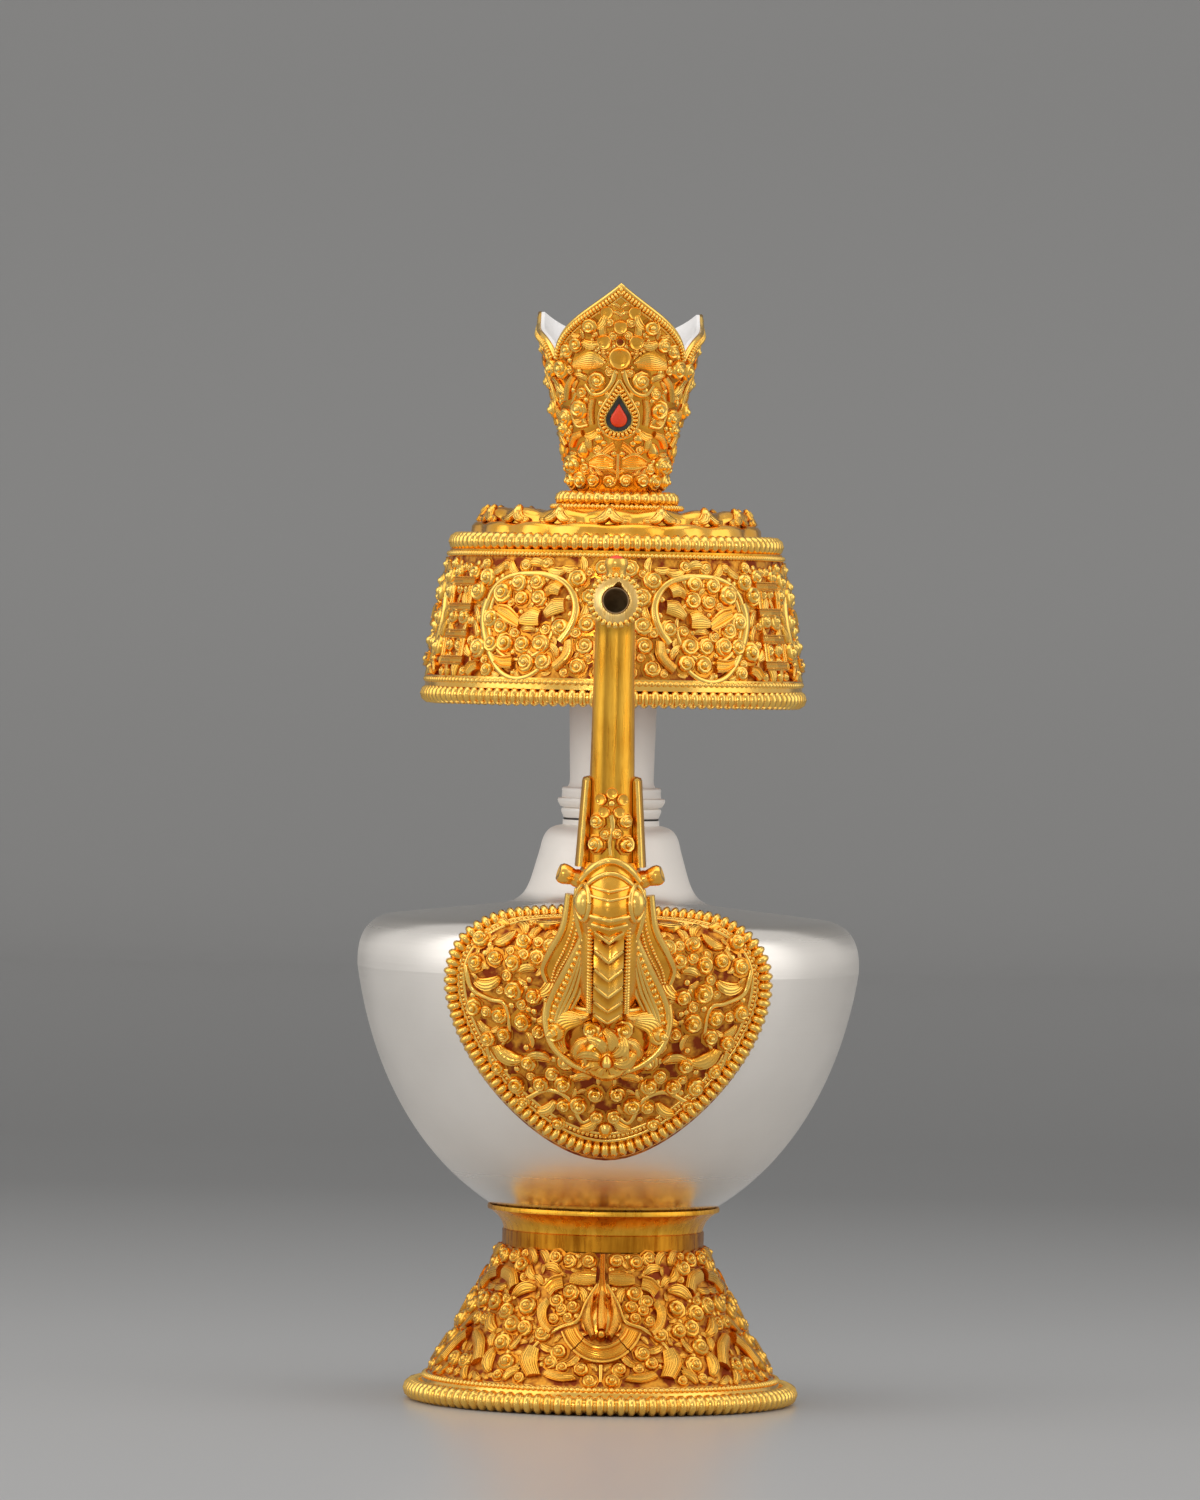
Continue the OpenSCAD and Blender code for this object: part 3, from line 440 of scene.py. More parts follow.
class Tree(Graph):  # a Geometry Nodes tree with named inputs
    def __init__(self, name, inputs):
        self.group = bpy.data.node_groups.new(name, "GeometryNodeTree")
        super().__init__(self.group)
        face = self.group.interface
        face.new_socket("Geometry", in_out="INPUT", socket_type="NodeSocketGeometry")
        for label, kind in inputs.items():
            face.new_socket(label, in_out="INPUT", socket_type="NodeSocket" + kind)
        face.new_socket("Geometry", in_out="OUTPUT", socket_type="NodeSocketGeometry")
        self.start = self.group.nodes.new("NodeGroupInput")

    def given(self, label):
        return Link(self, self.start.outputs[label])

    def named(self, label, kind):
        return self.add("GeometryNodeInputNamedAttribute", {"data_type": kind}, {"Name": label})

    def close(self, geometry, relief=None):  # real faces, smooth, with the finish on them and, if given, one painted light level
        geometry = self.add("GeometryNodeRealizeInstances", {}, {0: geometry})
        if relief is not None:
            geometry = self.add("GeometryNodeStoreNamedAttribute", {"data_type": "FLOAT", "domain": "POINT"},
                                {"Geometry": geometry, "Name": "relief", "Value": relief})
        geometry = self.add("GeometryNodeSetShadeSmooth", {}, {0: geometry})
        geometry = self.add("GeometryNodeSetMaterial", {},
                            {"Geometry": geometry, "Material": self.given("Finish")})
        self.tree.links.new(geometry.socket, self.group.nodes.new("NodeGroupOutput").inputs[0])

    def grow(self, name, source, **values):  # the tree's result over a source mesh, as a plain mesh
        carrier = bpy.data.objects.new(name + ".source", source)
        scene.collection.objects.link(carrier)
        modifier = carrier.modifiers.new("grow", "NODES")
        modifier.node_group = self.group
        for item in self.group.interface.items_tree:
            if item.in_out == "INPUT" and item.name in values:
                modifier[item.identifier] = values[item.name]
        done = carrier.evaluated_get(bpy.context.evaluated_depsgraph_get())
        mesh = bpy.data.meshes.new_from_object(done)
        mesh.name = name
        carrier.modifiers.clear()
        bpy.data.objects.remove(carrier)
        return mesh


def beadTree():  # beads in a row along a wire, each flattened along its own axis
    tree = Tree("beadsOnWire", {"Count": "Int", "Bead": "Vector", "Finish": "Material"})
    wire = tree.add("GeometryNodeMeshToCurve", {}, {"Mesh": tree.given("Geometry")})
    wire = tree.add("GeometryNodeResampleCurve", {"mode": "COUNT"},
                    {"Curve": wire, "Count": tree.given("Count")})
    bead = tree.add("GeometryNodeMeshUVSphere", {}, {"Segments": 10, "Rings": 7, "Radius": 1.0})
    turn = tree.add("FunctionNodeAlignRotationToVector", {"axis": "Z"},
                    {"Vector": tree.named("axis", "FLOAT_VECTOR")})
    beads = tree.add("GeometryNodeInstanceOnPoints", {},
                     {"Points": wire, "Instance": bead, "Rotation": turn, "Scale": tree.given("Bead")})
    # beads are painted near full light
    tree.close(beads, 0.85)
    return tree


def vineTree():  # round ridges along drawn lines, each with its own thickness
    tree = Tree("ridgesOnLines", {"Sides": "Int", "Finish": "Material"})
    line = tree.add("GeometryNodeMeshToCurve", {}, {"Mesh": tree.given("Geometry")})
    section = tree.add("GeometryNodeCurvePrimitiveCircle", {"mode": "RADIUS"},
                       {"Resolution": tree.given("Sides"), "Radius": 1.0})
    ridge = tree.add("GeometryNodeCurveToMesh", {}, {
        "Curve": line, "Profile Curve": section, "Scale": tree.named("thick", "FLOAT"), "Fill Caps": True})
    # ridges are painted near full light
    tree.close(ridge, 0.9)
    return tree


def motifTree():  # small chased motifs, each set on the wall with its own turn and size
    tree = Tree("motifsOnWall", {"Motifs": "Collection", "Finish": "Material"})
    shapes = tree.add("GeometryNodeCollectionInfo", {},
                      {"Collection": tree.given("Motifs"), "Separate Children": True, "Reset Children": True})
    turn = tree.add("FunctionNodeEulerToRotation", {}, {0: tree.named("turn", "FLOAT_VECTOR")})
    motifs = tree.add("GeometryNodeInstanceOnPoints", {}, {
        "Points": tree.given("Geometry"), "Instance": shapes, "Pick Instance": True,
        "Instance Index": tree.named("kind", "FLOAT"), "Rotation": turn,
        "Scale": tree.named("size", "FLOAT_VECTOR")})
    tree.close(motifs)
    return tree


beadsOnWire, ridgesOnLines, motifsOnWall = beadTree(), vineTree(), motifTree()


def wireMesh(lines, closed, thick=None):  # drawn lines with what the trees read from them
    points, edges, axes = [], [], []
    for line in lines:
        start, count = len(points), len(line)
        edges += [(start + i, start + i + 1) for i in range(count - 1)]
        edges += [(start + count - 1, start)] if closed else []
        for i in range(count):
            ahead = line[(i + 1) % count] if closed else line[min(i + 1, count - 1)]
            behind = line[i - 1] if closed else line[max(i - 1, 0)]
            axes.append((Vector(ahead) - Vector(behind)).normalized())
        points += line
    return newMesh("wire", points, [], {"axis": axes, "thick": thick or [mm] * len(points)}, edges)


def lineLength(points, closed):
    ends = points[1:] + ([points[0]] if closed else [])
    return sum((Vector(b) - Vector(a)).length for a, b in zip(points, ends))


def beadRow(name, lines, closed, pitch, bead, body, nodes=()):
    count = round(lineLength(lines[0], closed) / pitch)
    mesh = beadsOnWire.grow(name, wireMesh(lines, closed), Count=count, Bead=Vector(bead) * mm, Finish=gold)
    return dress(name, mesh, None, body, nodes)


def ridgeLines(name, lines, body, nodes=(), sides=8, material=gold):  # lines as (points, thick, end thick)
    thick = []
    for points, first, last in lines:
        thick += [(first + (last - first) * i / (len(points) - 1)) * mm for i in range(len(points))]
    source = wireMesh([points for points, first, last in lines], False, thick)
    mesh = ridgesOnLines.grow(name, source, Sides=sides, Finish=material)
    return dress(name, mesh, None, body, nodes)


def beadRing(name, radius, height, pitch, bead, body, nodes=(), core=0.0):
    if core:  # the wire that carries the beads
        rim = [(radius + x, height + z) for x, z in roundOutline(12, core)]
        turned(name + "Wire", rim, gold, body)
    circle = [(radius * math.sin(a), -radius * math.cos(a), height) for a in fullTurn(120)]
    return beadRow(name, [circle], True, pitch, bead, body, nodes)


# Small chased motifs, drawn one unit in radius and sized where they are set
motifSet = bpy.data.collections.new("motifs")
sunk = -0.35  # every motif's foot goes this far into the wall


def domed(outline, rings):  # an outline drawn in step by step to a point, each ring as (share, height)
    return swept([[(x * share, y * share, z) for x, y in outline] for share, z in rings])


def roundOutline(sides, radius=1.0):
    return [polar(radius, a) for a in fullTurn(sides)]


curl = {"turns": 1.5, "tail": 0.2, "steps": 9, "reach": 0.75, "tight": 0.34, "half": 0.3}


def curlShape(hand):  # a low snail with a round boss in its middle
    sections = []
    count = round((curl["turns"] + curl["tail"]) * curl["steps"])
    for i in range(count + 1):
        t = i / curl["steps"] - curl["tail"]
        a = math.tau * t * hand
        middle = curl["reach"] - curl["tight"] * max(t, 0) - 0.3 * min(t, 0)
        grown = min(1, 0.3 + (t + curl["tail"]) * 3)
        half, top = curl["half"] * grown, (0.78 + 0.26 * max(t, 0)) * grown
        row = [(middle + half, sunk), (middle + half * 0.95, top * 0.68), (middle + half * 0.3, top),
               (middle - half * 0.6, top * 0.92), (middle - half, sunk)]
        sections.append([(*polar(r, a), z) for r, z in row])
    boss = domed(roundOutline(7), [(0.36, sunk), (0.35, 1.05), (0.25, 1.36), (0.06, 1.5)])
    pad = domed(roundOutline(8), [(1.24, sunk), (1.18, 0.1), (0.3, 0.2)])
    return joined(swept(sections), boss, pad)


leaf = {"steps": 7, "bend": 1.5, "length": 2.0, "half": 0.46, "foot": -0.9, "hatch": 2.2}


def leafShape(hand):  # a bent blade with a sharp side, and the hatch lines across it
    sections, across = [], []
    x, y = 0.0, leaf["foot"]
    for i in range(leaf["steps"] + 1):
        t = i / leaf["steps"]
        heading = math.pi / 2 + hand * leaf["bend"] * (t - 0.35)
        half = leaf["half"] * (0.12 + 0.95 * math.sin(math.pi * min(0.86, 0.08 + t * 0.8)) ** 0.8)
        side = (math.sin(heading), -math.cos(heading))
        rise = 0.5 + 0.3 * math.sin(math.pi * t)
        row = [(-1, sunk), (-0.86, rise * 0.72), (0.1, rise), (0.86, rise * 0.9), (1, sunk)]
        sections.append([(x + side[0] * half * s * hand, y + side[1] * half * s * hand, z) for s, z in row])
        across += [(s + 1) * leaf["hatch"] for s, z in row]
        x += math.cos(heading) * leaf["length"] / leaf["steps"]
        y += math.sin(heading) * leaf["length"] / leaf["steps"]
    return swept(sections), across


def budShape():
    outline = []
    for a in fullTurn(14):
        x, y = math.cos(a), math.sin(a)
        outline.append((0.78 * x * (1 - 0.22 * y), y * (1.12 if y > 0 else 0.9)))
    return domed(outline, [(1.0, sunk), (0.97, 0.45), (0.8, 0.62), (0.74, 0.5), (0.62, 0.62), (0.4, 0.95),
                           (0.06, 1.05)])


def addMotif(order, label, shape, across=None):
    verts, faces = shape
    mesh = bpy.data.meshes.new(label)
    mesh.from_pydata(verts, [], faces)
    closeUp(mesh, 70)
    # painted light: each motif's higher parts are painted brighter, its foot darker
    relief = mesh.attributes.new("relief", "FLOAT", "POINT")
    hatch = mesh.attributes.new("hatch", "FLOAT", "POINT")
    for i, vert in enumerate(mesh.vertices):
        relief.data[i].value = min(1.0, max(0.0, 0.18 + vert.co.z * 0.8))
        hatch.data[i].value = across[i] if across else 0.0
    motifSet.objects.link(bpy.data.objects.new(f"{order}.{label}", mesh))


dotRings = [(1.0, sunk), (0.95, 0.35), (0.66, 0.8), (0.08, 1.0)]
cupRings = [(1.0, sunk), (0.97, 0.5), (0.86, 0.66), (0.74, 0.5), (0.5, 0.42), (0.05, 0.4)]
motifShapes = {"curlLeft": [curlShape(1)], "curlRight": [curlShape(-1)],
               "dot": [domed(roundOutline(7), dotRings)], "leafLeft": leafShape(1),
               "leafRight": leafShape(-1), "bud": [budShape()], "cup": [domed(roundOutline(14), cupRings)]}
motifNames = list(motifShapes)
for label, drawn in motifShapes.items():
    addMotif(motifNames.index(label), label, *drawn)


class TurnedWall:  # a wall of revolution, laid out in degrees round it and millimetres of height
    def __init__(self, path):
        self.path = path

    def spot(self, z):
        for (r0, z0), (r1, z1) in zip(self.path, self.path[1:]):
            if z <= z1 or (r1, z1) == self.path[-1]:
                t = (z - z0) / (z1 - z0)
                size = math.hypot(r1 - r0, z1 - z0)
                return r0 + (r1 - r0) * t, (r1 - r0) / size, (z1 - z0) / size

    def step(self, z):
        return self.spot(z)[0] * math.pi / 180

    def seen(self, x, z):  # a place x millimetres aside as seen from the front
        return math.degrees(math.asin(x / self.spot(z)[0])), z

    def at(self, u, v):
        r, dr, dz = self.spot(v)
        a = math.radians(u)
        out = Vector((math.sin(a), -math.cos(a), 0))
        right = Vector((math.cos(a), math.sin(a), 0))
        rise = Vector((0, 0, 1))
        return out * r + rise * v, right, out * dr + rise * dz, out * dz - rise * dr


stripShapes = {"edged": ((0, -0.3), (0, 0.85), (0.12, 1.0), (0.24, 0.66), (0.5, 0.8), (0.76, 0.66),
                         (0.88, 1.0), (1, 0.85), (1, -0.3)),
               "domed": ((0, -0.3), (0.03, 0.5), (0.25, 0.9), (0.55, 1.0), (0.97, 0.6), (1, -0.3))}
stripHatch = 9  # hatch lines across a raised leaf
ridgeRoom = 0.4  # kept free on each side of a ridge
closeness = 0.72  # how near two things may come, as a share of their half sizes
slimLeaf = 0.8  # the room a small leaf takes, as a share of its size
honeycomb = {"size": 4.8, "pitch": 4.1, "row": 0.87, "shake": 0.12, "leaf": 1.25,
             "kinds": ("curl", "curl", "curl", "leaf")}
scrollPasses = [(("curl", "curl", "leaf"), 4.4, 900), (("curl", "curl", "leaf"), 3.7, 1300),
                (("curl",), 3.0, 1300), (("curl", "leaf"), 2.4, 1500), (("dot",), 1.6, 900)]


def dealt(rand, kinds):  # a motif's kind, turn and hand
    return rand.choice(kinds), rand.uniform(0, 360), rand.choice((1, -1))


class Ornament:  # one zone's motifs, leaves and ridges, mirrored and repeated round the axis
    def __init__(self, wall, repeats, place=lambda x, y: (x, y)):
        self.wall = wall
        self.repeats = repeats
        self.place = place  # from where things are drawn to the wall's own layout
        self.motifs = []
        self.lines = []
        self.strips = []
        self.taken = []

    def put(self, kind, x, y, size, turn=0.0, hand=1, tall=0.5, wide=1.0, pair=True):
        u, v = self.place(x, y)
        self.motifs.append((kind, u, v, size, turn, hand, tall, wide, pair))
        self.taken.append((u, v, size * 0.5 * max(wide, 1)))

    def putAll(self, kind, rows, tall=0.5, grown=1.0):  # rows as (across, up, size, turn, hand)
        for x, y, size, turn, hand in rows:
            self.put(kind, x, y, size * grown, turn, hand, tall)

    def ridge(self, points, thick, end=None, pair=True, smooth=True):
        line = [self.place(x, y) for x, y in points]
        line = smoothLine(line, 7) if smooth else line
        self.lines.append((line, thick, thick if end is None else end, pair))
        self.taken += [(u, v, ridgeRoom) for u, v in line]

    def strip(self, left, right, tall, shape="domed", pair=True, smooth=True):  # a leaf between two lines
        sides = [[self.place(x, y) for x, y in line] for line in (left, right)]
        left, right = [smoothLine(line, 5) for line in sides] if smooth else sides
        self.strips.append((left, right, tall, shape, pair))
        for (u0, v0), (u1, v1) in zip(left, right):
            width = math.hypot((u1 - u0) * self.wall.step(v0), v1 - v0)
            self.taken.append(((u0 + u1) / 2, (v0 + v1) / 2, width * 0.5 + 0.2))

    def free(self, u, v, size):
        step = self.wall.step(v)
        return all(math.hypot((u - a) * step, v - b) > (size * 0.5 + c) * closeness for a, b, c in self.taken)

    def settle(self, drawn, u, v, size, room):
        kind, turn, hand = drawn
        self.motifs.append((kind, u, v, size, turn, hand, 0.5, 1.0, True))
        self.taken.append((u, v, room * 0.5))

    def comb(self, field, inside, rand):  # a shaken honeycomb of curls and leaves
        (u0, u1), (v0, v1) = field
        size, pitch, shake = honeycomb["size"], honeycomb["pitch"], honeycomb["shake"]
        for i in range(int((v1 - v0) / pitch / honeycomb["row"]) + 1):
            v = v0 + i * pitch * honeycomb["row"]
            step = self.wall.step(v)
            for k in range(int((u1 - u0) * step / pitch) + 1):
                u = u0 + (k + 0.5 * (i % 2) + rand.uniform(-shake, shake)) * pitch / step
                up = v + rand.uniform(-shake, shake) * pitch
                drawn = dealt(rand, honeycomb["kinds"])
                if inside(u, up, size * 0.5) and self.free(u, up, size):
                    grown = size * (honeycomb["leaf"] if drawn[0] == "leaf" else 1)
                    self.settle(drawn, u, up, grown, grown)

    def fill(self, field, inside, seed):  # the comb, then ever smaller motifs in its gaps
        self.comb(field, inside, random.Random(seed))
        rand = random.Random(seed)
        (u0, u1), (v0, v1) = field
        for kinds, size, tries in scrollPasses:
            for i in range(tries):
                u, v = rand.uniform(u0, u1), rand.uniform(v0, v1)
                drawn = dealt(rand, kinds)
                wide = size * (slimLeaf if drawn[0] == "leaf" else 1)
                if inside(u, v, wide * 0.5) and self.free(u, v, wide):
                    self.settle(drawn, u, v, size, wide)

    def spread(self, pair):  # every place where a drawn thing is repeated
        return [(Matrix.Rotation(math.radians(turn), 3, "Z"), side) for turn in self.repeats
                for side in ((1, -1) if pair else (1,))]

    def leaves(self):
        parts, relief, hatch = [], [], []
        for left, right, tall, shape, pair in self.strips:
            for spin, side in self.spread(pair):
                sections = []
                for (u0, v0), (u1, v1) in zip(left, right):
                    row = []
                    for share, height in stripShapes[shape]:
                        u, v = u0 + (u1 - u0) * share, v0 + (v1 - v0) * share
                        place, x, y, out = self.wall.at(u * side, v)
                        row.append(spin @ (place + out * tall * height))
                        # painted light: brighter where the leaf stands higher
                        relief.append(0.05 + 0.75 * max(height, 0))
                        hatch.append(share * stripHatch)
                    sections.append(row)
                parts.append(swept(sections))
        verts, faces = joined(*parts)
        return closeUp(newMesh("leaves", verts, faces, {"relief": relief, "hatch": hatch}), 42)

    def grow(self, name, body, nodes=(), material=gold):
        points, turns, sizes, kinds = [], [], [], []
        for kind, u, v, size, turn, hand, tall, wide, pair in self.motifs:
            for spin, side in self.spread(pair):
                place, right, up, out = (spin @ p for p in self.wall.at(u * side, v))
                a = math.radians(turn) * side
                x = right * math.cos(a) + up * math.sin(a)
                y = up * math.cos(a) - right * math.sin(a)
                label = kind if kind in motifNames else kind + ("Left" if hand * side > 0 else "Right")
                points.append(place)
                turns.append(Vector(Matrix((x, y, out)).transposed().to_euler()))
                sizes.append(Vector((size * wide, size, size * tall)) * (0.5 * mm))
                kinds.append(float(motifNames.index(label)))
        source = newMesh(name, points, [], {"turn": turns, "size": sizes, "kind": kinds})
        mesh = motifsOnWall.grow(name, source, Motifs=motifSet, Finish=material)
        dress(name, mesh, None, body, nodes)
        lines = [([spin @ self.wall.at(u * side, v)[0] for u, v in line], first, last)
                 for line, first, last, pair in self.lines for spin, side in self.spread(pair)]
        if lines:
            ridgeLines(name + "Ridges", lines, body, nodes, 6, material)
        if self.strips:
            dress(name + "Leaves", self.leaves(), material, body, nodes)
        print(name, len(points), "motifs", len(self.lines), "ridges", len(self.strips), "leaves")


# Foot: chased wall, beaded rim and plain collar
foot = {"r": 38.0, "topR": 22.0, "draw": 5.0, "wall": 1.2, "stand": 0.3, "rimR": 40.3, "rimZ": 2.25,
        "rimCore": 1.6, "pitch": 2.2, "bead": (2.3, 2.3, 1.3), "budZ": 19.2, "fanR": 8.8, "fanInner": 5.2,
        "panel": 30}
footPath = bezier((foot["r"], high("foot_rim_beads").z), (foot["r"] - foot["draw"], zCollar * 0.33),
                  (foot["topR"] + foot["draw"] * 0.8, zCollar * 0.72), (foot["topR"], zCollar))
footInside = offset(footPath, -foot["wall"])
turned("footGround", [(foot["r"] - foot["wall"], foot["stand"]), (foot["r"], foot["stand"])] + footPath
       + footInside[::-1], ground, "vase", ["foot_shell"])
beadRing("footRim", foot["rimR"], foot["rimZ"], foot["pitch"], foot["bead"], "vase", ["foot_rim_beads"],
         core=foot["rimCore"])
fineZ = (low("foot_fine_beads").z + high("foot_fine_beads").z) / 2
beadRing("footFine", high("foot_fine_beads").x, fineZ - 1.0, 1.2, (0.7, 0.7, 0.6), "vase",
         ["foot_fine_beads"], core=0.35)
turned("footFlange", [(37.2, 3.4), (38.6, 3.6), (38.4, 4.6), (37.4, 5.6), (36.6, 6.2), (35.8, 5.8)], gold,
       "vase")

collar = {"r": 21.7, "wall": 1.4, "edge": 0.2}
collarIn, collarEdge = collar["r"] - collar["wall"], collar["r"] - collar["edge"]
turned("footCollar", [(collarIn, zCollar), (collarEdge, zCollar), (collar["r"], zCollar + collar["edge"]),
                      (collar["r"], zCup - collar["edge"]), (collarEdge, zCup), (collarIn, zCup)],
       goldCollar, "vase", ["foot_collar"])

footWall = TurnedWall(footPath)


def onFoot(x, z):  # places given in millimetres from the bud's middle
    return footWall.seen(x, foot["budZ"] + z)


budPanel = Ornament(footWall, [0, 120, 240], onFoot)
budPanel.put("bud", 0, 0.4, 10.6, 0, tall=0.32, wide=1.06, pair=False)
budPanel.put("dot", 0, -3.2, 2.4, tall=2.2, pair=False)
budPanel.strip([(1.5, 5.2), (1.7, 0.6), (1.2, -3.6)], [(1.9, 5.0), (4.1, 0.4), (2.2, -4.2)], 3.0)
budPanel.strip([(-0.7, 5.4), (-1.3, 0.6), (-0.9, -2.4)], [(0.7, 5.4), (1.3, 0.6), (0.9, -2.4)], 2.7,
               pair=False)
budPanel.strip([(-0.5, 13.6), (-0.55, 9.0), (-1.1, 6.2), (-1.9, 4.6)],
               [(0.5, 13.6), (0.55, 9.0), (1.1, 6.2), (1.9, 4.6)], 1.3, "edged", False)
for angles, pair in (((-18, -32, -46), True), ((-48, -62, -76, -90), False)):  # the fan under the bud
    fan = [math.radians(angle) for angle in angles]
    fan += [] if pair else [-math.pi - a for a in fan[-2::-1]]
    budPanel.strip([polar(foot["fanR"], a) for a in fan], [polar(foot["fanInner"], a) for a in fan], 1.2,
                   "edged", pair)
budPanel.ridge([(0.9, 7.4), (3.2, 3.8), (5.0, 0.0), (9.0, -1.6), (13.0, -4.4), (15.6, -7.6)], 0.75, 0.5)
budPanel.ridge([(0, -9.0), (0, -12.4)], 0.6, 0.4, pair=False, smooth=False)
budPanel.strip([(1.2, 10.2), (3.4, 10.6), (6.4, 9.6)], [(1.4, 7.4), (4.0, 7.0), (6.9, 7.4)], 1.1)
budPanel.strip([(8.4, 9.2), (10.4, 8.6), (12.2, 6.8)], [(8.0, 6.4), (9.6, 5.8), (10.6, 4.6)], 1.2, "edged")
budPanel.strip([(11.6, 4.4), (13.6, 2.0), (13.2, -1.4), (11.0, -3.4)],
               [(10.6, 3.2), (11.4, 1.4), (11.0, -0.6), (9.8, -2.0)], 1.5)
budPanel.strip([(15.4, -5.6), (17.2, -8.4), (15.6, -12.0)], [(12.8, -6.4), (13.0, -9.0), (12.4, -11.4)], 1.4)
budPanel.strip([(12.2, -11.6), (8.8, -12.6), (5.0, -12.2)], [(10.6, -10.2), (8.6, -10.6), (6.4, -10.8)], 1.1)
budPanel.putAll("curl", [
    (2.9, 12.3, 3.7, 30, 1), (7.0, 12.2, 3.7, 80, -1), (6.1, 2.8, 3.5, 0, 1), (8.6, 2.2, 3.4, 90, -1),
    (8.8, -6.6, 4.2, 120, 1), (4.0, -9.9, 3.9, 240, -1), (2.4, -12.2, 3.7, 0, 1), (10.6, -8.6, 3.6, 60, -1),
    (12.4, -3.0, 4.2, 10, 1), (9.4, 3.9, 4.0, 200, -1)])
footField = ((0, foot["panel"]), (fineZ + 0.6, zCollar - 0.4))


def inFoot(u, v, room):
    step = footWall.step(v)
    return (u * step > room * 0.8 and (foot["panel"] - u) * step > room * 0.6
            and v - room * 0.8 > fineZ - 0.6 and v + room * 0.6 < zCollar)


budPanel.fill(footField, inFoot, 4)
budPanel.grow("footBudScrolls", "vase", ["foot_shell"], goldFoot)
palmPanel = Ornament(footWall, [60, 180, 300], onFoot)
palmPanel.strip([(2.0, -3.0), (5.6, -5.0), (8.2, -8.8)], [(1.2, -5.4), (3.8, -7.6), (5.6, -10.6)], 1.6)
palmPanel.strip([(1.2, 10.4), (4.8, 9.6), (7.4, 6.8)], [(0.9, 7.6), (3.6, 6.8), (5.6, 4.8)], 1.5)
palmPanel.putAll("curl", [(2.6, 2.8, 4.8, 120, 1), (2.4, -9.6, 4.6, 40, -1), (7.4, 1.2, 4.8, 200, 1),
                          (2.2, 12.4, 4.0, 80, -1)])
palmPanel.put("leaf", 5.2, -1.6, 6.0, 50, -1)
palmPanel.put("curl", 10.6, -5.4, 4.8, 10, 1)
palmPanel.fill(footField, inFoot, 9)
palmPanel.grow("footPalmScrolls", "vase", ["foot_shell"], goldFoot)

# Bowl, shoulder and dome: satin silver
bowl = {"r": 53.9, "seatR": 19.2, "sheet": 1.2, "cornerH": 11.1, "cornerW": 6.4, "slope": 6.5, "holeR": 17.3,
        "steps": 192}
bowlH = zGirth - zSeat
bowlPath = bezier((bowl["seatR"] * 1.25, zSeat + bowlH * 0.056), (bowl["r"] * 0.742, zSeat + bowlH * 0.24),
                  (bowl["r"] * 0.937, zSeat + bowlH * 0.575), (bowl["r"], zGirth), 36)
bowlOuter = [(bowl["seatR"], zSeat)] + bowlPath
bowlInner = offset(bowlOuter, -bowl["sheet"])
turned("silverBowl", [(0, zSeat)] + bowlOuter + bowlInner[::-1] + [(0, zSeat + bowl["sheet"])],
       silver, "vase", ["bowl"], bowl["steps"])
zCorner = zGirth + bowl["cornerH"]
slope = math.tan(math.radians(bowl["slope"]))
holeZ = zCorner + (bowl["r"] - bowl["cornerW"] - bowl["holeR"]) * slope
shoulderPath = bezier((bowl["r"], zGirth),
                      (bowl["r"] + bowl["cornerW"] * 0.06, zGirth + bowl["cornerH"] * 0.58),
                      (bowl["r"] - bowl["cornerW"] * 0.28, zCorner - bowl["cornerH"] * 0.1),
                      (bowl["r"] - bowl["cornerW"], zCorner), 20)
shoulderPath += [(40, zCorner + 7.5 * slope), (bowl["holeR"], holeZ)]
turned("silverShoulder", shoulderPath + offset(shoulderPath, -bowl["sheet"])[::-1], silver, "vase",
       ["shoulder"], bowl["steps"])
dome = {"footR": 23.0, "r": 15.1, "spread": 1.5, "flangeR": 10.4, "mouthR": 9.4, "wall": 1.2, "innerR": 14}
domeH = zFlange - zDome
domePath = bezier((dome["footR"], zDome), (dome["r"] + 2.3 * dome["spread"], zDome + domeH * 0.039),
                  (dome["r"] + 1.7 * dome["spread"], zDome + domeH * 0.195),
                  (dome["r"] + dome["spread"], zDome + domeH * 0.39), 14)
domePath += bezier((dome["r"], zDome + domeH * 0.7), (dome["r"] * 0.96, zFlange - domeH * 0.1),
                   (dome["flangeR"] * 1.29, zFlange - domeH * 0.02), (dome["flangeR"], zFlange), 14)
domePath += [(dome["mouthR"], zFlange), (dome["mouthR"], zFlange - dome["wall"]),
             (dome["innerR"], zDome + domeH * 0.6), (bowl["holeR"], zDome)]
turned("silverDome", domePath, silverDull, "vase", ["neck_dome"])

# Flared cup under the bowl
cup = {"lipR": 24.95, "hole": 12.0, "wallR": 20.3, "floor": 1, "seat": zSeat - 0.02}
cupPath = [(cup["hole"], cup["seat"]), (cup["hole"], zSeat - cup["floor"]),
           (cup["wallR"], zSeat - cup["floor"]), (cup["wallR"], zCup)]
cupPath += bezier((collar["r"] - 0.28, zCup), (collar["r"], zCup + 2.3), (cup["lipR"] - 1.2, zLip - 1.3),
                  (cup["lipR"], zLip - 0.95), 14)
cupPath += [(cup["lipR"] + 0.05, zLip - 0.5), (cup["lipR"] - 0.1, zLip), (cup["lipR"] - 0.7, zLip - 0.1),
            (23.0, zLip - 2.2), (19.4, cup["seat"])]
turned("bowlCup", cupPath, goldPlain, "vase", ["bowl_cup"])

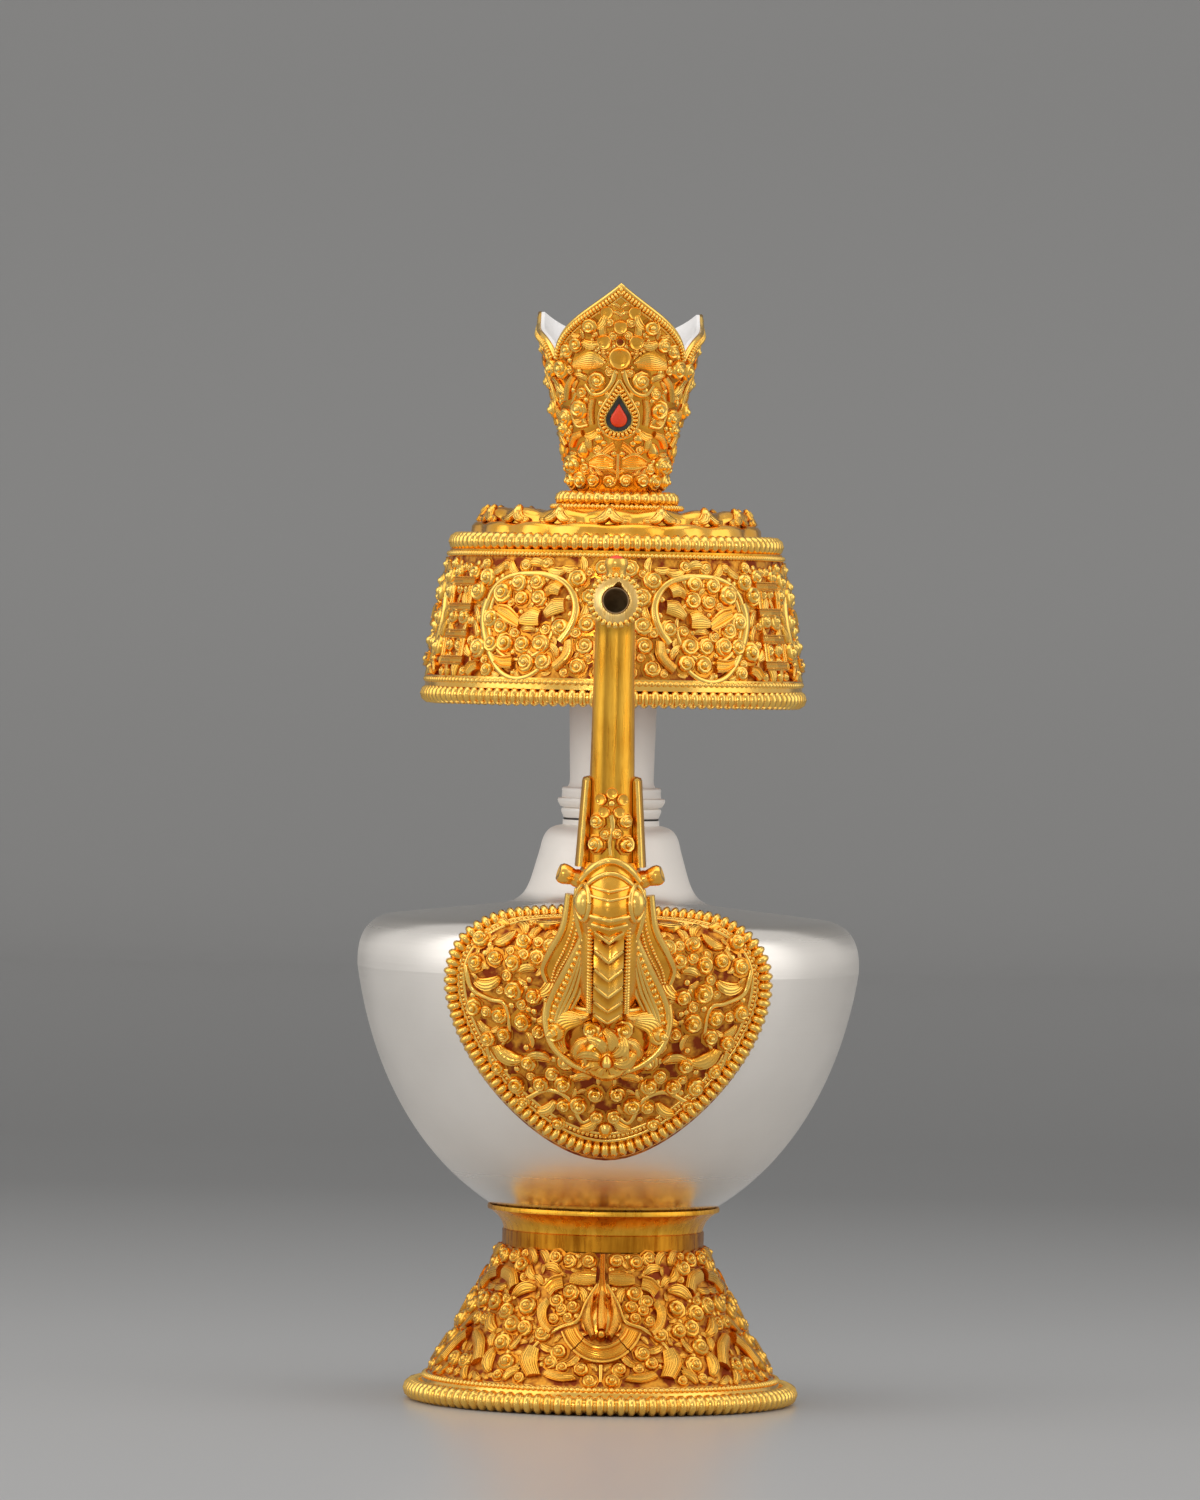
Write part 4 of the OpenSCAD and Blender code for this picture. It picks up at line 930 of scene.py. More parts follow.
# Neck rings and tube
neck = {"r": 9.0, "topR": 9.5, "bore": 7.2, "ringBore": 8.2, "ringH": 2.2,
        "rings": ((10.3, 10.8), (10.9, 11.6), (10.7, 10.7))}
rings = [(neck["ringBore"], zRings), (10.1, zRings)]
for k, (bottomR, topR) in enumerate(neck["rings"]):
    z0 = zRings + k * neck["ringH"]
    rings += [(bottomR, z0 + 0.25), (topR - 0.1, z0 + neck["ringH"] * 0.55),
              (topR, z0 + neck["ringH"] * 0.75), (topR - 0.15, z0 + neck["ringH"] * 0.92),
              (bottomR - 0.3, z0 + neck["ringH"])]
turned("neckRings", rings + [(neck["ringBore"], zNeck)], silverDull, "top", ["neck_moulding"],
       sharp=50)
turned("neckTube", [(neck["bore"], zNeck), (neck["r"] + 0.5, zNeck), (neck["r"] + 0.1, zNeck + 0.7),
                    (neck["r"], zNeck + 1.6), (neck["topR"], zSkirt), (neck["topR"], zHub),
                    (neck["bore"], zHub)], silverDull, "top", ["neck_tube"])
print("silver turned")

# Canopy: chased skirt on red lacquer between two beaded rims
canopy = {"r": 40.4, "topR": 35.7, "wall": 1.2, "pitch": 2.15, "bead": (2.15, 2.15, 1.26), "core": 1.45,
          "rimR": 34.0, "bottomR": 39.52, "panel": 60}
skirtMid = (zSkirt + zPlate) / 2
skirtPath = [(canopy["r"], zSkirt), ((canopy["r"] + canopy["topR"]) / 2, skirtMid), (canopy["topR"], zPlate)]
turned("canopyGround", skirtPath + offset(skirtPath, -canopy["wall"])[::-1], ground, "top",
       ["canopy_skirt"])
topRimZ = (low("canopy_top_beads").z + high("canopy_top_beads").z) / 2 - 0.3
beadRing("canopyTopRim", canopy["rimR"], topRimZ, canopy["pitch"], canopy["bead"], "top",
         ["canopy_top_beads"], core=canopy["core"])
bottomRimZ = low("canopy_bottom_beads").z + 2.2
beadRing("canopyBottomRim", canopy["bottomR"], bottomRimZ, canopy["pitch"], canopy["bead"], "top",
         ["canopy_bottom_beads"], core=canopy["core"])
beadRing("canopyTopFine", canopy["topR"] + 0.15, zPlate + 0.5, 0.95, (0.6, 0.6, 0.52), "top",
         ["canopy_top_fine_beads"], core=0.35)
beadRing("canopyBottomFine", canopy["r"] - 0.1, zSkirt + 1.5, 1.35, (0.68, 0.68, 0.68), "top",
         ["canopy_bottom_fine_beads"], core=0.4)
turned("canopyBand", [(39.9, zSkirt), (40.6, zSkirt), (40.5, zSkirt + 2.4), (39.6, zSkirt + 2.4)], gold,
       "top")

skirtWall = TurnedWall(skirtPath)
medal = {"turn": 30.0, "r": 10.3, "inner": 5.6}
fret = {"half": 4.4, "bar": 1, "post": 2.9, "rows": (8.4, 2.8, -2.8, -8.4), "gaps": (5.6, -5.6), "gap": 1.9}


def onSkirt(turn):  # places given in millimetres from the middle of a medallion or fret
    def place(x, z):
        u, v = skirtWall.seen(x, skirtMid + z)
        return turn + u, v
    return place


skirtScrolls = Ornament(skirtWall, [0, 120, 240])
for turn, side in ((0, 1), (canopy["panel"], -1)):  # frets of flat bars, half of each drawn here
    skirtScrolls.place = onSkirt(turn)
    end, post = side * fret["half"], side * fret["post"]
    for z in fret["rows"]:
        top, bottom = z + fret["bar"], z - fret["bar"]
        skirtScrolls.strip([(0, top), (end, top)], [(0, bottom), (end, bottom)], 1.2, "edged", smooth=False)
    for z in fret["gaps"]:
        bottom, top = z - fret["gap"], z + fret["gap"]
        skirtScrolls.strip([(post, bottom), (post, top)], [(end, bottom), (end, top)], 1.1, "edged",
                           smooth=False)
skirtScrolls.place = onSkirt(medal["turn"])
for start, sweep in ((205, -190), (25, -150)):  # two vines round the medallion
    bow = arc(start, sweep, 12)
    lean = [medal["r"] + 1.0 * math.sin(math.pi * i / 12) + 0.9 * math.sin(3 * a) for i, a in enumerate(bow)]
    skirtScrolls.ridge([polar(r, a) for a, r in zip(bow, lean)], 1.2, 0.6)
drawnIn = [medal["r"] - (medal["r"] - medal["inner"]) * (i / 20) ** 0.8 for i in range(21)]
skirtScrolls.ridge([polar(r, a) for a, r in zip(arc(40, -300, 20), drawnIn)], 0.65, 0.45)
medalLeaves = [
    ([(-8.6, 5.2), (-6.0, 5.0), (-4.4, 2.6)], [(-9.0, 2.2), (-6.8, 1.4), (-5.4, 0.8)], "domed"),
    ([(-3.8, 2.6), (-1.6, 3.2), (0.4, 1.6)], [(-3.6, -0.8), (-1.4, -1.0), (0.8, -0.6)], "domed"),
    ([(0.8, 1.0), (3.4, 3.2), (6.0, 3.6)], [(1.0, -1.4), (4.2, -0.2), (6.8, 1.4)], "edged"),
    ([(-8.0, 8.0), (-6.2, 8.8), (-4.6, 7.8)], [(-7.2, 5.6), (-5.8, 5.8), (-4.8, 5.2)], "domed"),
    ([(1.8, -7.0), (4.2, -7.4), (6.4, -7.0)], [(1.6, -10.0), (4.2, -9.8), (6.0, -8.8)], "edged"),
    ([(-11.4, -3.4), (-11.6, -7.0), (-8.6, -10.4)], [(-9.6, -4.0), (-9.2, -6.6), (-7.4, -8.6)], "domed"),
    ([(11.2, -8.4), (13.2, -8.8), (14.6, -10.6)], [(10.6, -10.2), (11.8, -10.8), (12.8, -11.6)], "edged")]
for left, right, shape in medalLeaves:
    skirtScrolls.strip(left, right, 1.6, shape)
skirtScrolls.putAll("curl", [
    (-2.1, 8.6, 3.7, 0, 1), (2.3, 8.4, 3.9, 90, -1), (6.2, 6.2, 4.8, 20, 1), (8.6, 0.8, 4.4, 200, -1),
    (-2.8, 5.2, 3.9, 60, -1), (1.2, 5.0, 3.4, 150, 1), (-8.3, -0.8, 3.9, 120, 1), (-4.2, -4.4, 4.2, 30, -1),
    (-0.2, -4.6, 4.0, 80, 1), (4.2, -4.4, 4.4, 240, -1), (-5.2, -8.2, 3.9, 0, 1), (-1.2, -8.4, 4.1, 100, -1),
    (8.0, -4.6, 4.0, 10, 1), (11.0, 9.4, 4.2, 40, -1), (-11.0, 9.4, 4.2, 160, 1), (11.6, -5.6, 4.6, 90, -1),
    (13.4, 6.4, 4.4, 300, 1), (-12.6, -9.2, 3.8, 0, -1), (15.2, 10.4, 3.4, 20, 1), (-13.6, 5.6, 4.0, 60, -1)],
    tall=0.52, grown=1.12)


def inSkirt(u, v, room):
    step = skirtWall.step(v)
    return (u * step > room * 0.8 and (canopy["panel"] - u) * step > room * 0.8
            and v - room * 0.8 > zSkirt + 2.3 and v + room * 0.7 < zPlate - 0.4)


skirtScrolls.fill(((0, canopy["panel"]), (zSkirt + 3.0, zPlate - 1.2)), inSkirt, 6)
skirtScrolls.grow("canopyScrolls", "top", ["canopy_skirt"])

# Lotus on the canopy: two scalloped tiers with chased tips
lotus = {"petals": 16, "turn": -3.2, "hubR": 13.2, "steps": 12}


def lotusTier(name, node, rows, turn):  # rows as radius, height, and draw-in and dip between petals
    def profile(a):
        gap = 1 - (0.5 + 0.5 * math.cos(lotus["petals"] * (a - math.radians(turn)))) ** 0.6
        return [(r - cut * gap, z - dip * gap) for r, z, cut, dip in rows]
    dress(name, spun(name, profile, lotus["petals"] * lotus["steps"], 0.55, 60), gold, "top", [node])


lotusTier("lotusLow", "lotus_lower", [
    (31.4, zLotus, 0.8, 0), (31.5, zLotusUp - 3, 0.9, 0), (31.3, zLotusUp - 1, 0.9, 0.1),
    (30.6, zLotusUp - 0.2, 0.9, 0.3), (29.4, zLotusUp, 0.5, 0.3), (26, zLotusUp - 0.2, 0, 0),
    (26, zLotus, 0, 0)], 180 / lotus["petals"] + lotus["turn"])
lotusTier("lotusUp", "lotus_upper", [
    (29.2, zLotusUp - 0.4, 1.3, 0), (29.1, zLotusUp + 0.9, 1.3, 0), (28.5, zLotusTop - 0.8, 1.3, 0.4),
    (27.4, zLotusTop, 1.0, 0.9), (25.6, zLotusTop + 0.1, 0.6, 1.1), (23, zLotusTop - 0.6, 0, 0.7),
    (19, zLotusTop - 1.0, 0, 0.4), (lotus["hubR"], zLotusTop - 0.5, 0, 0),
    (lotus["hubR"], zLotusUp - 0.4, 0, 0)], lotus["turn"])
tipWall = TurnedWall([(29.3, zLotusUp - 0.4), (29.0, zLotusUp + 1.2), (28.1, zLotusTop - 0.5),
                      (27.2, zLotusTop + 0.2)])
tips = Ornament(tipWall, [lotus["turn"] + 360 / lotus["petals"] * i for i in range(lotus["petals"])])
tips.put("leaf", 3.0, zLotusUp + 1.5, 4.4, 48, -1, 0.4, 1.15)
tips.put("leaf", 5.4, zLotusUp + 0.9, 3.4, 78, -1, 0.4, 1.1)
tips.put("bud", 0, zLotusTop - 0.9, 3.2, pair=False, tall=0.6)
tips.grow("lotusTips", "top")
beadRing("hubBeads", lotus["hubR"] + 0.7, zLotusTop + 0.5, 1.05, (0.62, 0.62, 0.52), "top", ["hub_beads"],
         core=0.3)

# Crown: three flaring petals round a white silver liner
crown = {"foot": 8.6, "flare": 18.8, "wall": 0.8, "halfW": 13.6, "notch": 17.5, "sideDrop": 5.5, "rimD": 3.8,
         "rimR": 11.7, "coralZ": 18.8, "rosetteZ": 35.2, "third": 60, "curl": 2.2, "curlH": 10, "curlW": 32}
petalTurns = (0, 120, 240)
crownH = zPeak - zHub
crownLine = [(crown["foot"], zHub)] + bezier(
    (crown["foot"], zHub + crownH * 0.06), (crown["foot"] * 1.37, zHub + crownH * 0.3),
    (crown["flare"] * 0.755, zHub + crownH * 0.6), (crown["flare"], zPeak), 24)
crownFace = TurnedWall([(r + crown["wall"], z) for r, z in crownLine])
beadRing("crownBase", crown["rimR"], zHub + 1.75, 2.05, (1.75, 1.75, 1.18), "top", ["crown_base_beads"],
         core=1.2)


def tipBend(turn, z):  # the side petals curl outwards at their tips
    aside = min(abs(wrapped(turn - side)) for side in petalTurns[1:])
    share = min(max((z - zPeak + crown["sideDrop"] + crown["curlH"]) / crown["curlH"], 0), 1.1)
    return crown["curl"] * hump(aside, 0, crown["curlW"]) * share**2


def crownAt(turn, z, away):  # a place on the crown, away from the liner's outer face
    r = crownFace.spot(z)[0] - crown["wall"] + away + tipBend(turn, z)
    a = math.radians(turn)
    return Vector((r * math.sin(a), -r * math.cos(a), z))


sidePeak = zPeak - crown["sideDrop"]
peaks = [zPeak, sidePeak, sidePeak]
notchZ = zPeak - crown["notch"]
petalEdges = {peak: bezier((crown["halfW"], notchZ + 1.75), (crown["halfW"], notchZ + 9.6),
                           (crown["halfW"] / 2, peak - 6.1), (0, peak), 40) for peak in peaks}


def petalTop(turn, peak):  # height of a petal's edge at a turn from its middle
    edge = petalEdges[peak]

    def within(z):
        reach = crown["halfW"] * 1.02
        for (x0, z0), (x1, z1) in zip(edge, edge[1:]):
            if z0 <= z <= z1:
                reach = x0 + (x1 - x0) * (z - z0) / (z1 - z0)
        return abs(crownAt(turn, z, crown["wall"] / 2).x) <= reach

    return sum(narrowed(notchZ - 1, peak, within, 30)) / 2


turns = [crown["third"] * u / 20 for u in range(-20, 21)]
petalTops = {peak: [petalTop(turn, peak) for turn in turns] for peak in petalEdges}


def crownGrid(columns, base, inner, outer, closed):  # a wall between two distances, columns as (turn, top)
    rows = 26
    verts, faces = [], []
    for turn, top in columns:
        for away in (outer, inner):
            verts += [crownAt(turn, z, away) for z in stops(base, top - base, rows)]
    ring = 2 * (rows + 1)
    loop = list(range(rows + 1)) + list(range(ring - 1, rows, -1))
    for i in range(len(columns) if closed else len(columns) - 1):
        here, there = i * ring, (i + 1) % len(columns) * ring
        for a, b in zip(loop, loop[1:] + loop[:1]):
            faces.append((here + a, here + b, there + b, there + a))
    if not closed:
        faces += [tuple(loop)[::-1], tuple((len(columns) - 1) * ring + k for k in loop)]
    return verts, faces


columns = [(middle + turn, top) for middle, peak in zip(petalTurns, peaks)
           for turn, top in zip(turns[:-1], petalTops[peak])]
verts, faces = crownGrid(columns, zHub, -crown["wall"], 0.0, True)
dress("crownLiner", closeUp(newMesh("crownLiner", verts, faces)), silverWhite, "top",
      ["crown_liner"])
for middle, peak, side in zip(petalTurns, peaks, ("front", "right", "left")):
    columns = [(middle + turn, top) for turn, top in zip(turns, petalTops[peak])]
    verts, faces = crownGrid(columns, zHub + crown["rimD"] - 0.6, 0.02, crown["wall"], False)
    mesh = skin("crownPetal", verts, faces, 0.42)
    dress("crownPetal." + side, mesh, gold, "top", ["crown_petal_" + side])


def petalLines(inset, away):  # lines that follow the petals' edges, set in from them
    lines = []
    for middle, peak in zip(petalTurns, peaks):
        flat = [(math.radians(turn) * crownFace.spot(z)[0], z) for turn, z in zip(turns, petalTops[peak])]
        line = [(math.degrees(x / crownFace.spot(z)[0]), z) for x, z in offset(flat, inset)]
        lines.append([crownAt(middle + turn, z, away) for turn, z in line if abs(turn) < crown["third"] - 1])
    return lines


beadRow("crownEdgeBeads", petalLines(1.3, 1.2), False, 0.82, (0.72, 0.72, 0.43), "top", ["crown_edge_beads"])
edgeLines = [(line, 0.55, 0.55) for line in petalLines(0.35, 0.6)]
edgeLines += [(line, 0.3, 0.3) for line in petalLines(2.15, 0.85)]
ridgeLines("crownEdgeBands", edgeLines, "top")


class CrownWall:  # a petal's outer face, laid out in millimetres across and up
    def __init__(self, middle):
        self.middle = middle

    def step(self, v):
        return 1.0

    def at(self, u, v):
        turn = math.degrees(u / crownFace.spot(v)[0])
        place, right, up, out = crownFace.at(turn, v)
        return place + out * tipBend(self.middle + turn, v), right, up, out


def onPetals(height, points):  # places given as (across, up, out) from a spot of each petal's middle
    groups = []
    for middle in petalTurns:
        spin, wall = Matrix.Rotation(math.radians(middle), 3, "Z"), CrownWall(middle)
        groups.append([])
        for x, y, z in points:
            place, right, up, out = wall.at(x, zHub + height + y * 0.96)
            groups[-1].append(spin @ (place + out * z))
    return groups


def petalMesh(name, height, shape, sharp=45):
    verts, faces = joined(*[(group, shape[1]) for group in onPetals(height, shape[0])])
    return skin(name, verts, faces, 0.7, sharp)


def dropOutline(width, steps=20):  # a drop with its point upwards
    side = [(width * 0.433 * t, width * (1 - 0.75 * t)) for t in (0.0, 0.35, 0.7)]
    return side + [polar(width / 2, a) for a in arc(30, -240, steps)] + [(-x, y) for x, y in side[:0:-1]]


drop = {"coral": 3.5, "setting": 5.4, "frame": 7.0, "sunk": -0.5, "room": (4.0, 4.2), "roomZ": 18.6}
stone = domed(dropOutline(drop["coral"]), [(1, drop["sunk"]), (1, 0.55), (0.93, 0.85), (0.72, 1.05),
                                           (0.4, 1.17), (0.05, 1.2)])
dress("coralDrops", petalMesh("coralDrops", crown["coralZ"], stone, 60), coral, "top", ["corals"])
outer, inner = dropOutline(drop["setting"]), dropOutline(drop["coral"] * 1.02)
drawnIn = [(x * 0.93, y * 0.93) for x, y in outer]
bezel = swept([[(*q, z) for q in line] for line, z in (
    (outer, drop["sunk"]), (outer, 0.55), (drawnIn, 0.85), (inner, 0.7), (inner, drop["sunk"]),
    (outer, drop["sunk"]))])
bezel = (bezel[0], bezel[1][:-2])  # a ring has no ends to close
dress("coralSettings", petalMesh("coralSettings", crown["coralZ"], bezel), onyx, "top",
      ["coral_settings"])
frameLine = [(x, y, 0.35) for x, y in smoothLine(dropOutline(drop["frame"], 12), 3)]
beadRow("coralFrames", onPetals(crown["coralZ"], frameLine), True, 0.88, (0.82, 0.82, 0.43), "top",
        ["coral_frames"])
frameLines = []
for width, height, thick in ((drop["frame"] - 1.3, 0.4, 0.3), (drop["frame"] + 1.7, 0.1, 0.42)):
    rim = dropOutline(width, 16)
    rim = onPetals(crown["coralZ"], [(x, y, height) for x, y in rim + rim[:1]])
    frameLines += [(line, thick, thick) for line in rim]
ridgeLines("coralFrameRims", frameLines, "top")


def rosettes(name, repeats):  # four cups round an eye; gives back the room they take
    flower = Ornament(CrownWall(repeats[0]), repeats, lambda x, y: (x, zHub + crown["rosetteZ"] + y))
    flower.put("cup", 0, 3.2, 3.2, pair=False, tall=0.75)
    flower.put("cup", 3.4, 0, 3.5, tall=0.75)
    flower.put("cup", 0, -3.4, 5.2, pair=False, tall=0.6)
    flower.put("cup", 0, 0, 2.5, pair=False, tall=1.1)
    flower.grow(name, "top", ["crown_rosettes"])
    return flower.taken


rosetteRoom = rosettes("crownRosettes.front", [0])
rosettes("crownRosettes.sides", [120, 240])
arcs = []
for x, y, size, start, sweep in ((3.4, 0, 2.6, 30, -140), (-3.4, 0, 2.6, 150, 140),
                                 (0, -3.4, 3.4, -20, -140)):
    bow = [polar(size, a) for a in arc(start, sweep, 10)]
    arcs += onPetals(crown["rosetteZ"], [(x + dx, y + dy, 0.4) for dx, dy in bow])
beadRow("rosetteGrains", arcs, False, 0.8, (0.45, 0.45, 0.4), "top")
eye = domed(roundOutline(10, 0.75), [(1, -0.3), (1, 0.62), (0.7, 0.75), (0.05, 0.78)])
dress("rosetteEyes", petalMesh("rosetteEyes", crown["rosetteZ"], eye), ground, "top")


def crownOrnament(name, repeats, peak, nodes):
    scrolls = Ornament(CrownWall(repeats[0]), repeats, lambda x, y: (x, zHub + y))

    def inside(x, z, room):
        turn = math.degrees(x / crownFace.spot(z)[0])
        return (x > room * 0.75 and turn < crown["third"] - room * 1.4
                and z + room < petalTop(turn, peak) - 2.2)

    wide, tall = drop["room"]  # kept for the coral and its frame
    for angle in range(0, 360, 20):
        a = math.radians(angle)
        scrolls.taken.append((wide * math.cos(a), zHub + drop["roomZ"] + tall * math.sin(a), 0.6))
    scrolls.taken += [(0, zHub + 25.0, 1.2), (0, zHub + crown["coralZ"], 3.5)] + rosetteRoom
    scrolls.ridge([(0.8, 29.2), (1.6, 26.6), (3.4, 24.4), (5.8, 24.0), (7.6, 26.0)], 0.75, 0.5)
    scrolls.ridge([(0, 11.4), (0, 6.0)], 0.5, pair=False, smooth=False)
    scrolls.ridge([(9.8, 24.4), (11.4, 20.6), (9.8, 17.2), (6.8, 17.4)], 0.55, 0.4)
    for left, right, shape in (
            ([(3.2, 31.6), (6.2, 33.4), (10.2, 31.6)], [(3.6, 29.8), (6.8, 29.2), (10.4, 29.4)], "domed"),
            ([(5.0, 23.0), (5.4, 20.4), (5.2, 17.6)], [(6.4, 23.0), (6.9, 20.4), (6.6, 17.8)], "domed"),
            ([(0.9, 10.6), (3.4, 11.8), (6.2, 10.2)], [(0.9, 8.2), (3.4, 7.9), (6.0, 8.8)], "edged"),
            ([(1.0, 14.2), (2.4, 13.2), (3.6, 11.9)], [(0.6, 12.8), (1.6, 12.0), (2.6, 11.2)], "edged"),
            ([(11.0, 28.4), (13.0, 26.0), (13.4, 22.6)], [(9.6, 27.4), (11.2, 25.4), (11.8, 22.8)], "domed"),
            ([(8.4, 16.4), (10.8, 15.8), (12.2, 13.6)], [(7.8, 15.0), (9.8, 14.2), (10.8, 12.6)], "domed")):
        scrolls.strip(left, right, 0.9, shape)
    for kind, x, up, size, angle, hand in (
            ("curl", 4.7, 27.0, 4.6, 90, 1), ("curl", 9.0, 20.9, 4.8, 60, -1), ("dot", 4.3, 14.6, 2.5, 0, 1),
            ("bud", 8.0, 12.0, 3.8, 20, -1), ("curl", 1.7, 5.7, 3.4, 30, 1), ("curl", 5.4, 5.8, 3.5, 120, -1),
            ("cup", 3.0, 41.4, 3.0, 0, 1), ("curl", 6.8, 38.4, 4.0, 10, -1), ("curl", 9.9, 34.6, 3.8, 80, 1)):
        if inside(x, zHub + up, size * 0.4):
            scrolls.put(kind, x, up, size, angle, hand, 0.55)
    scrolls.fill(((0, 17), (zHub + 5, peak)), inside, 11)
    scrolls.grow(name, "top", nodes)


crownOrnament("crownScrolls.front", [0], zPeak, ["crown_petal_front"])
crownOrnament("crownScrolls.sides", [120, 240], sidePeak, ["crown_petal_right", "crown_petal_left"])
print("crown set")

# Shield plate over the belly's front, with its border and scrolls
plate = {"half": 34.1, "up": 16.0, "down": 33.6, "tilt": 20.0, "rise": 2.6, "wall": 1.2, "gap": 0.03,
         "beads": 1.85, "middle": -9.0, "rings": 12, "deep": 30.0, "steps": 22}
bellyPath = bowlOuter + shoulderPath[1:]
bellyPaths = {}


def bellyRadius(z, away):  # how far out the belly's skin stands at a height
    if away not in bellyPaths:
        path = offset(bellyPath, away)
        bellyPaths[away] = ([q[1] for q in path], [q[0] for q in path])
    heights, radii = bellyPaths[away]
    if z <= heights[0] or z >= heights[-1]:
        return radii[0] if z <= heights[0] else 0.0
    i = bisect.bisect(heights, z)
    return radii[i - 1] + (radii[i] - radii[i - 1]) * (z - heights[i - 1]) / (heights[i] - heights[i - 1])


def inBelly(p, away):
    return math.hypot(p.x, p.y) < bellyRadius(p.z, away)


def plateSpot(x, y, away):  # a place of the flat drawing, laid on the belly
    tilt = math.radians(plate["tilt"])
    out = Vector((0, -math.cos(tilt), math.sin(tilt)))
    base = Vector((x, y * math.sin(tilt) - bowl["r"], zGirth + plate["rise"] + y * math.cos(tilt)))
    near, far = narrowed(-plate["deep"], plate["deep"], lambda d: inBelly(base + out * d, away), 28)
    return base + out * near


def plateOutline(inset):
    steps = plate["steps"]
    w, up, down = plate["half"] - inset, plate["up"] - inset, plate["down"] - inset
    half = bezier((0, -down), (w * 0.47, -down), (w, -down * 0.39), (w, 0), steps)
    half += bezier((w, 0), (w, up * 0.62), (w * 0.7, up * 1.06), (0, up), steps)[1:]
    return half + [(-x, y) for x, y in half[-2:0:-1]]


def plateGround():
    outline, rings, middle = plateOutline(0), plate["rings"], plate["middle"]
    count = len(outline)
    shares = [(i + 0.02) / rings for i in range(rings)] + [1.0]
    shells = [[plateSpot(x * t, middle + (y - middle) * t, away) for t in shares for x, y in outline]
              for away in (plate["wall"], plate["gap"])]
    sheet = [tuple(range(count))] + quads(rings + 1, count, False)
    verts, faces = joined(*[(shell, sheet) for shell in shells])
    top, back = rings * count, (2 * rings + 1) * count
    faces += [(top + k, top + (k + 1) % count, back + (k + 1) % count, back + k) for k in range(count)]
    return closeUp(newMesh("plateGround", verts, faces))


dress("plateGround", plateGround(), ground, "vase", ["spout_plate"])


def plateLine(inset, away):
    return [plateSpot(x, y, away) for x, y in plateOutline(inset)]


beadRow("plateBorder", [plateLine(1.15, 1.5)], True, plate["beads"], (1.85, 1.85, 1.02), "vase",
        ["spout_plate_beads"])
beadRow("plateGrains", [plateLine(3.2, 1.3)], True, 0.95, (0.52, 0.52, 0.46), "vase")
borderLines = []
for inset, away, thick in ((0.55, 0.55, 0.62), (1.2, 1.3, 0.9), (2.6, 1.1, 0.5), (3.75, 1.1, 0.45)):
    line = plateLine(inset, away)
    borderLines.append((line + line[:1], thick, thick))
ridgeLines("plateBands", borderLines, "vase")


class PlateWall:  # the plate's face, laid out in millimetres across and up
    def __init__(self, away):
        self.away = away

    def step(self, v):
        return 1.0

    def at(self, u, v):
        place = plateSpot(u, v, self.away)
        right = (plateSpot(u + 0.3, v, self.away) - plateSpot(u - 0.3, v, self.away)).normalized()
        up = plateSpot(u, v + 0.3, self.away) - plateSpot(u, v - 0.3, self.away)
        out = right.cross(up).normalized()
        return place, right, out.cross(right), out


def inOutline(outline, x, y):
    inside = False
    for (x0, y0), (x1, y1) in zip(outline, outline[1:] + outline[:1]):
        if (y0 > y) != (y1 > y) and x < x0 + (x1 - x0) * (y - y0) / (y1 - y0):
            inside = not inside
    return inside


plateScrolls = Ornament(PlateWall(plate["wall"]), [0])
plateScrolls.taken.append((0, -9.4, 12.0))  # the makara's mane
plateScrolls.put("bud", 0, -29.2, 3.8, 180, tall=0.7, pair=False)  # palmette at the plate's point
plateScrolls.put("curl", 1.8, -27.2, 3.6, 90, 1, 0.6)
plateScrolls.put("leaf", 3.5, -28.3, 4.4, -125, 1, 0.7)
plateScrolls.putAll("curl", [
    (26.8, 7.1, 4.2, 40, 1), (17.6, 5.3, 4.0, 200, -1), (27.7, 2.2, 4.0, 100, 1),
    (19.8, -4.1, 4.8, 60, -1), (15.6, -5.5, 4.0, 10, 1), (27.9, -6.2, 4.2, 300, -1),
    (22.6, -8.3, 4.0, 30, 1), (17.8, -9.9, 4.6, 120, -1), (25.0, -12.2, 3.8, 0, 1),
    (14.2, -12.2, 3.4, 220, -1), (18.7, -20.9, 4.4, 80, 1), (13.8, -21.3, 4.0, 30, -1),
    (9.0, -21.6, 4.2, 190, 1), (5.6, -25.2, 4.4, 250, -1), (9.9, -27.9, 3.4, 20, 1),
    (2.3, -23.4, 3.9, 40, 1), (16.4, -17.4, 4.0, 70, -1), (22.6, -17.6, 3.6, 110, 1),
    (17.2, -24.0, 3.4, 10, -1), (23.6, 2.6, 3.8, 50, 1), (21.6, -11.8, 3.8, 130, -1),
    (8.8, -25.2, 3.4, 160, 1), (14.8, 1.6, 4.0, 220, 1), (20.0, 1.2, 4.2, 90, -1)],
    tall=0.72)
plateScrolls.putAll("leaf", [
    (25.0, -1.6, 6.2, -95, 1), (21.8, 6.6, 5.4, 70, -1), (20.2, -15.4, 7.0, -60, 1),
    (14.0, -16.8, 5.4, -70, -1), (12.4, -25.0, 5.2, -120, 1), (12.6, 9.4, 5.4, 100, -1),
    (7.0, 9.6, 5.0, 80, 1), (22.6, 10.4, 4.0, 110, 1)],
    tall=0.6)
for stem in ([(30.0, 2.0), (28.6, -2.6), (24.6, -5.2), (21.6, -6.6), (20.6, -11.6), (23.0, -14.8)],
             [(25.2, -13.8), (23.6, -17.4), (20.6, -18.4)],
             [(16.4, -23.4), (12.2, -22.4), (8.0, -24.0), (5.0, -28.0), (2.4, -27.0)]):
    plateScrolls.ridge(stem, 0.75, 0.5)
plateRooms = {}


def inPlate(x, y, room):
    inset = round(4.0 + room * 0.7, 1)
    if inset not in plateRooms:
        plateRooms[inset] = plateOutline(inset)
    return x > room * 0.8 and inOutline(plateRooms[inset], x, y)


plateScrolls.fill(((0, 32), (-32, 15)), inPlate, 5)
plateScrolls.grow("plateScrolls", "vase")
print("plate set")

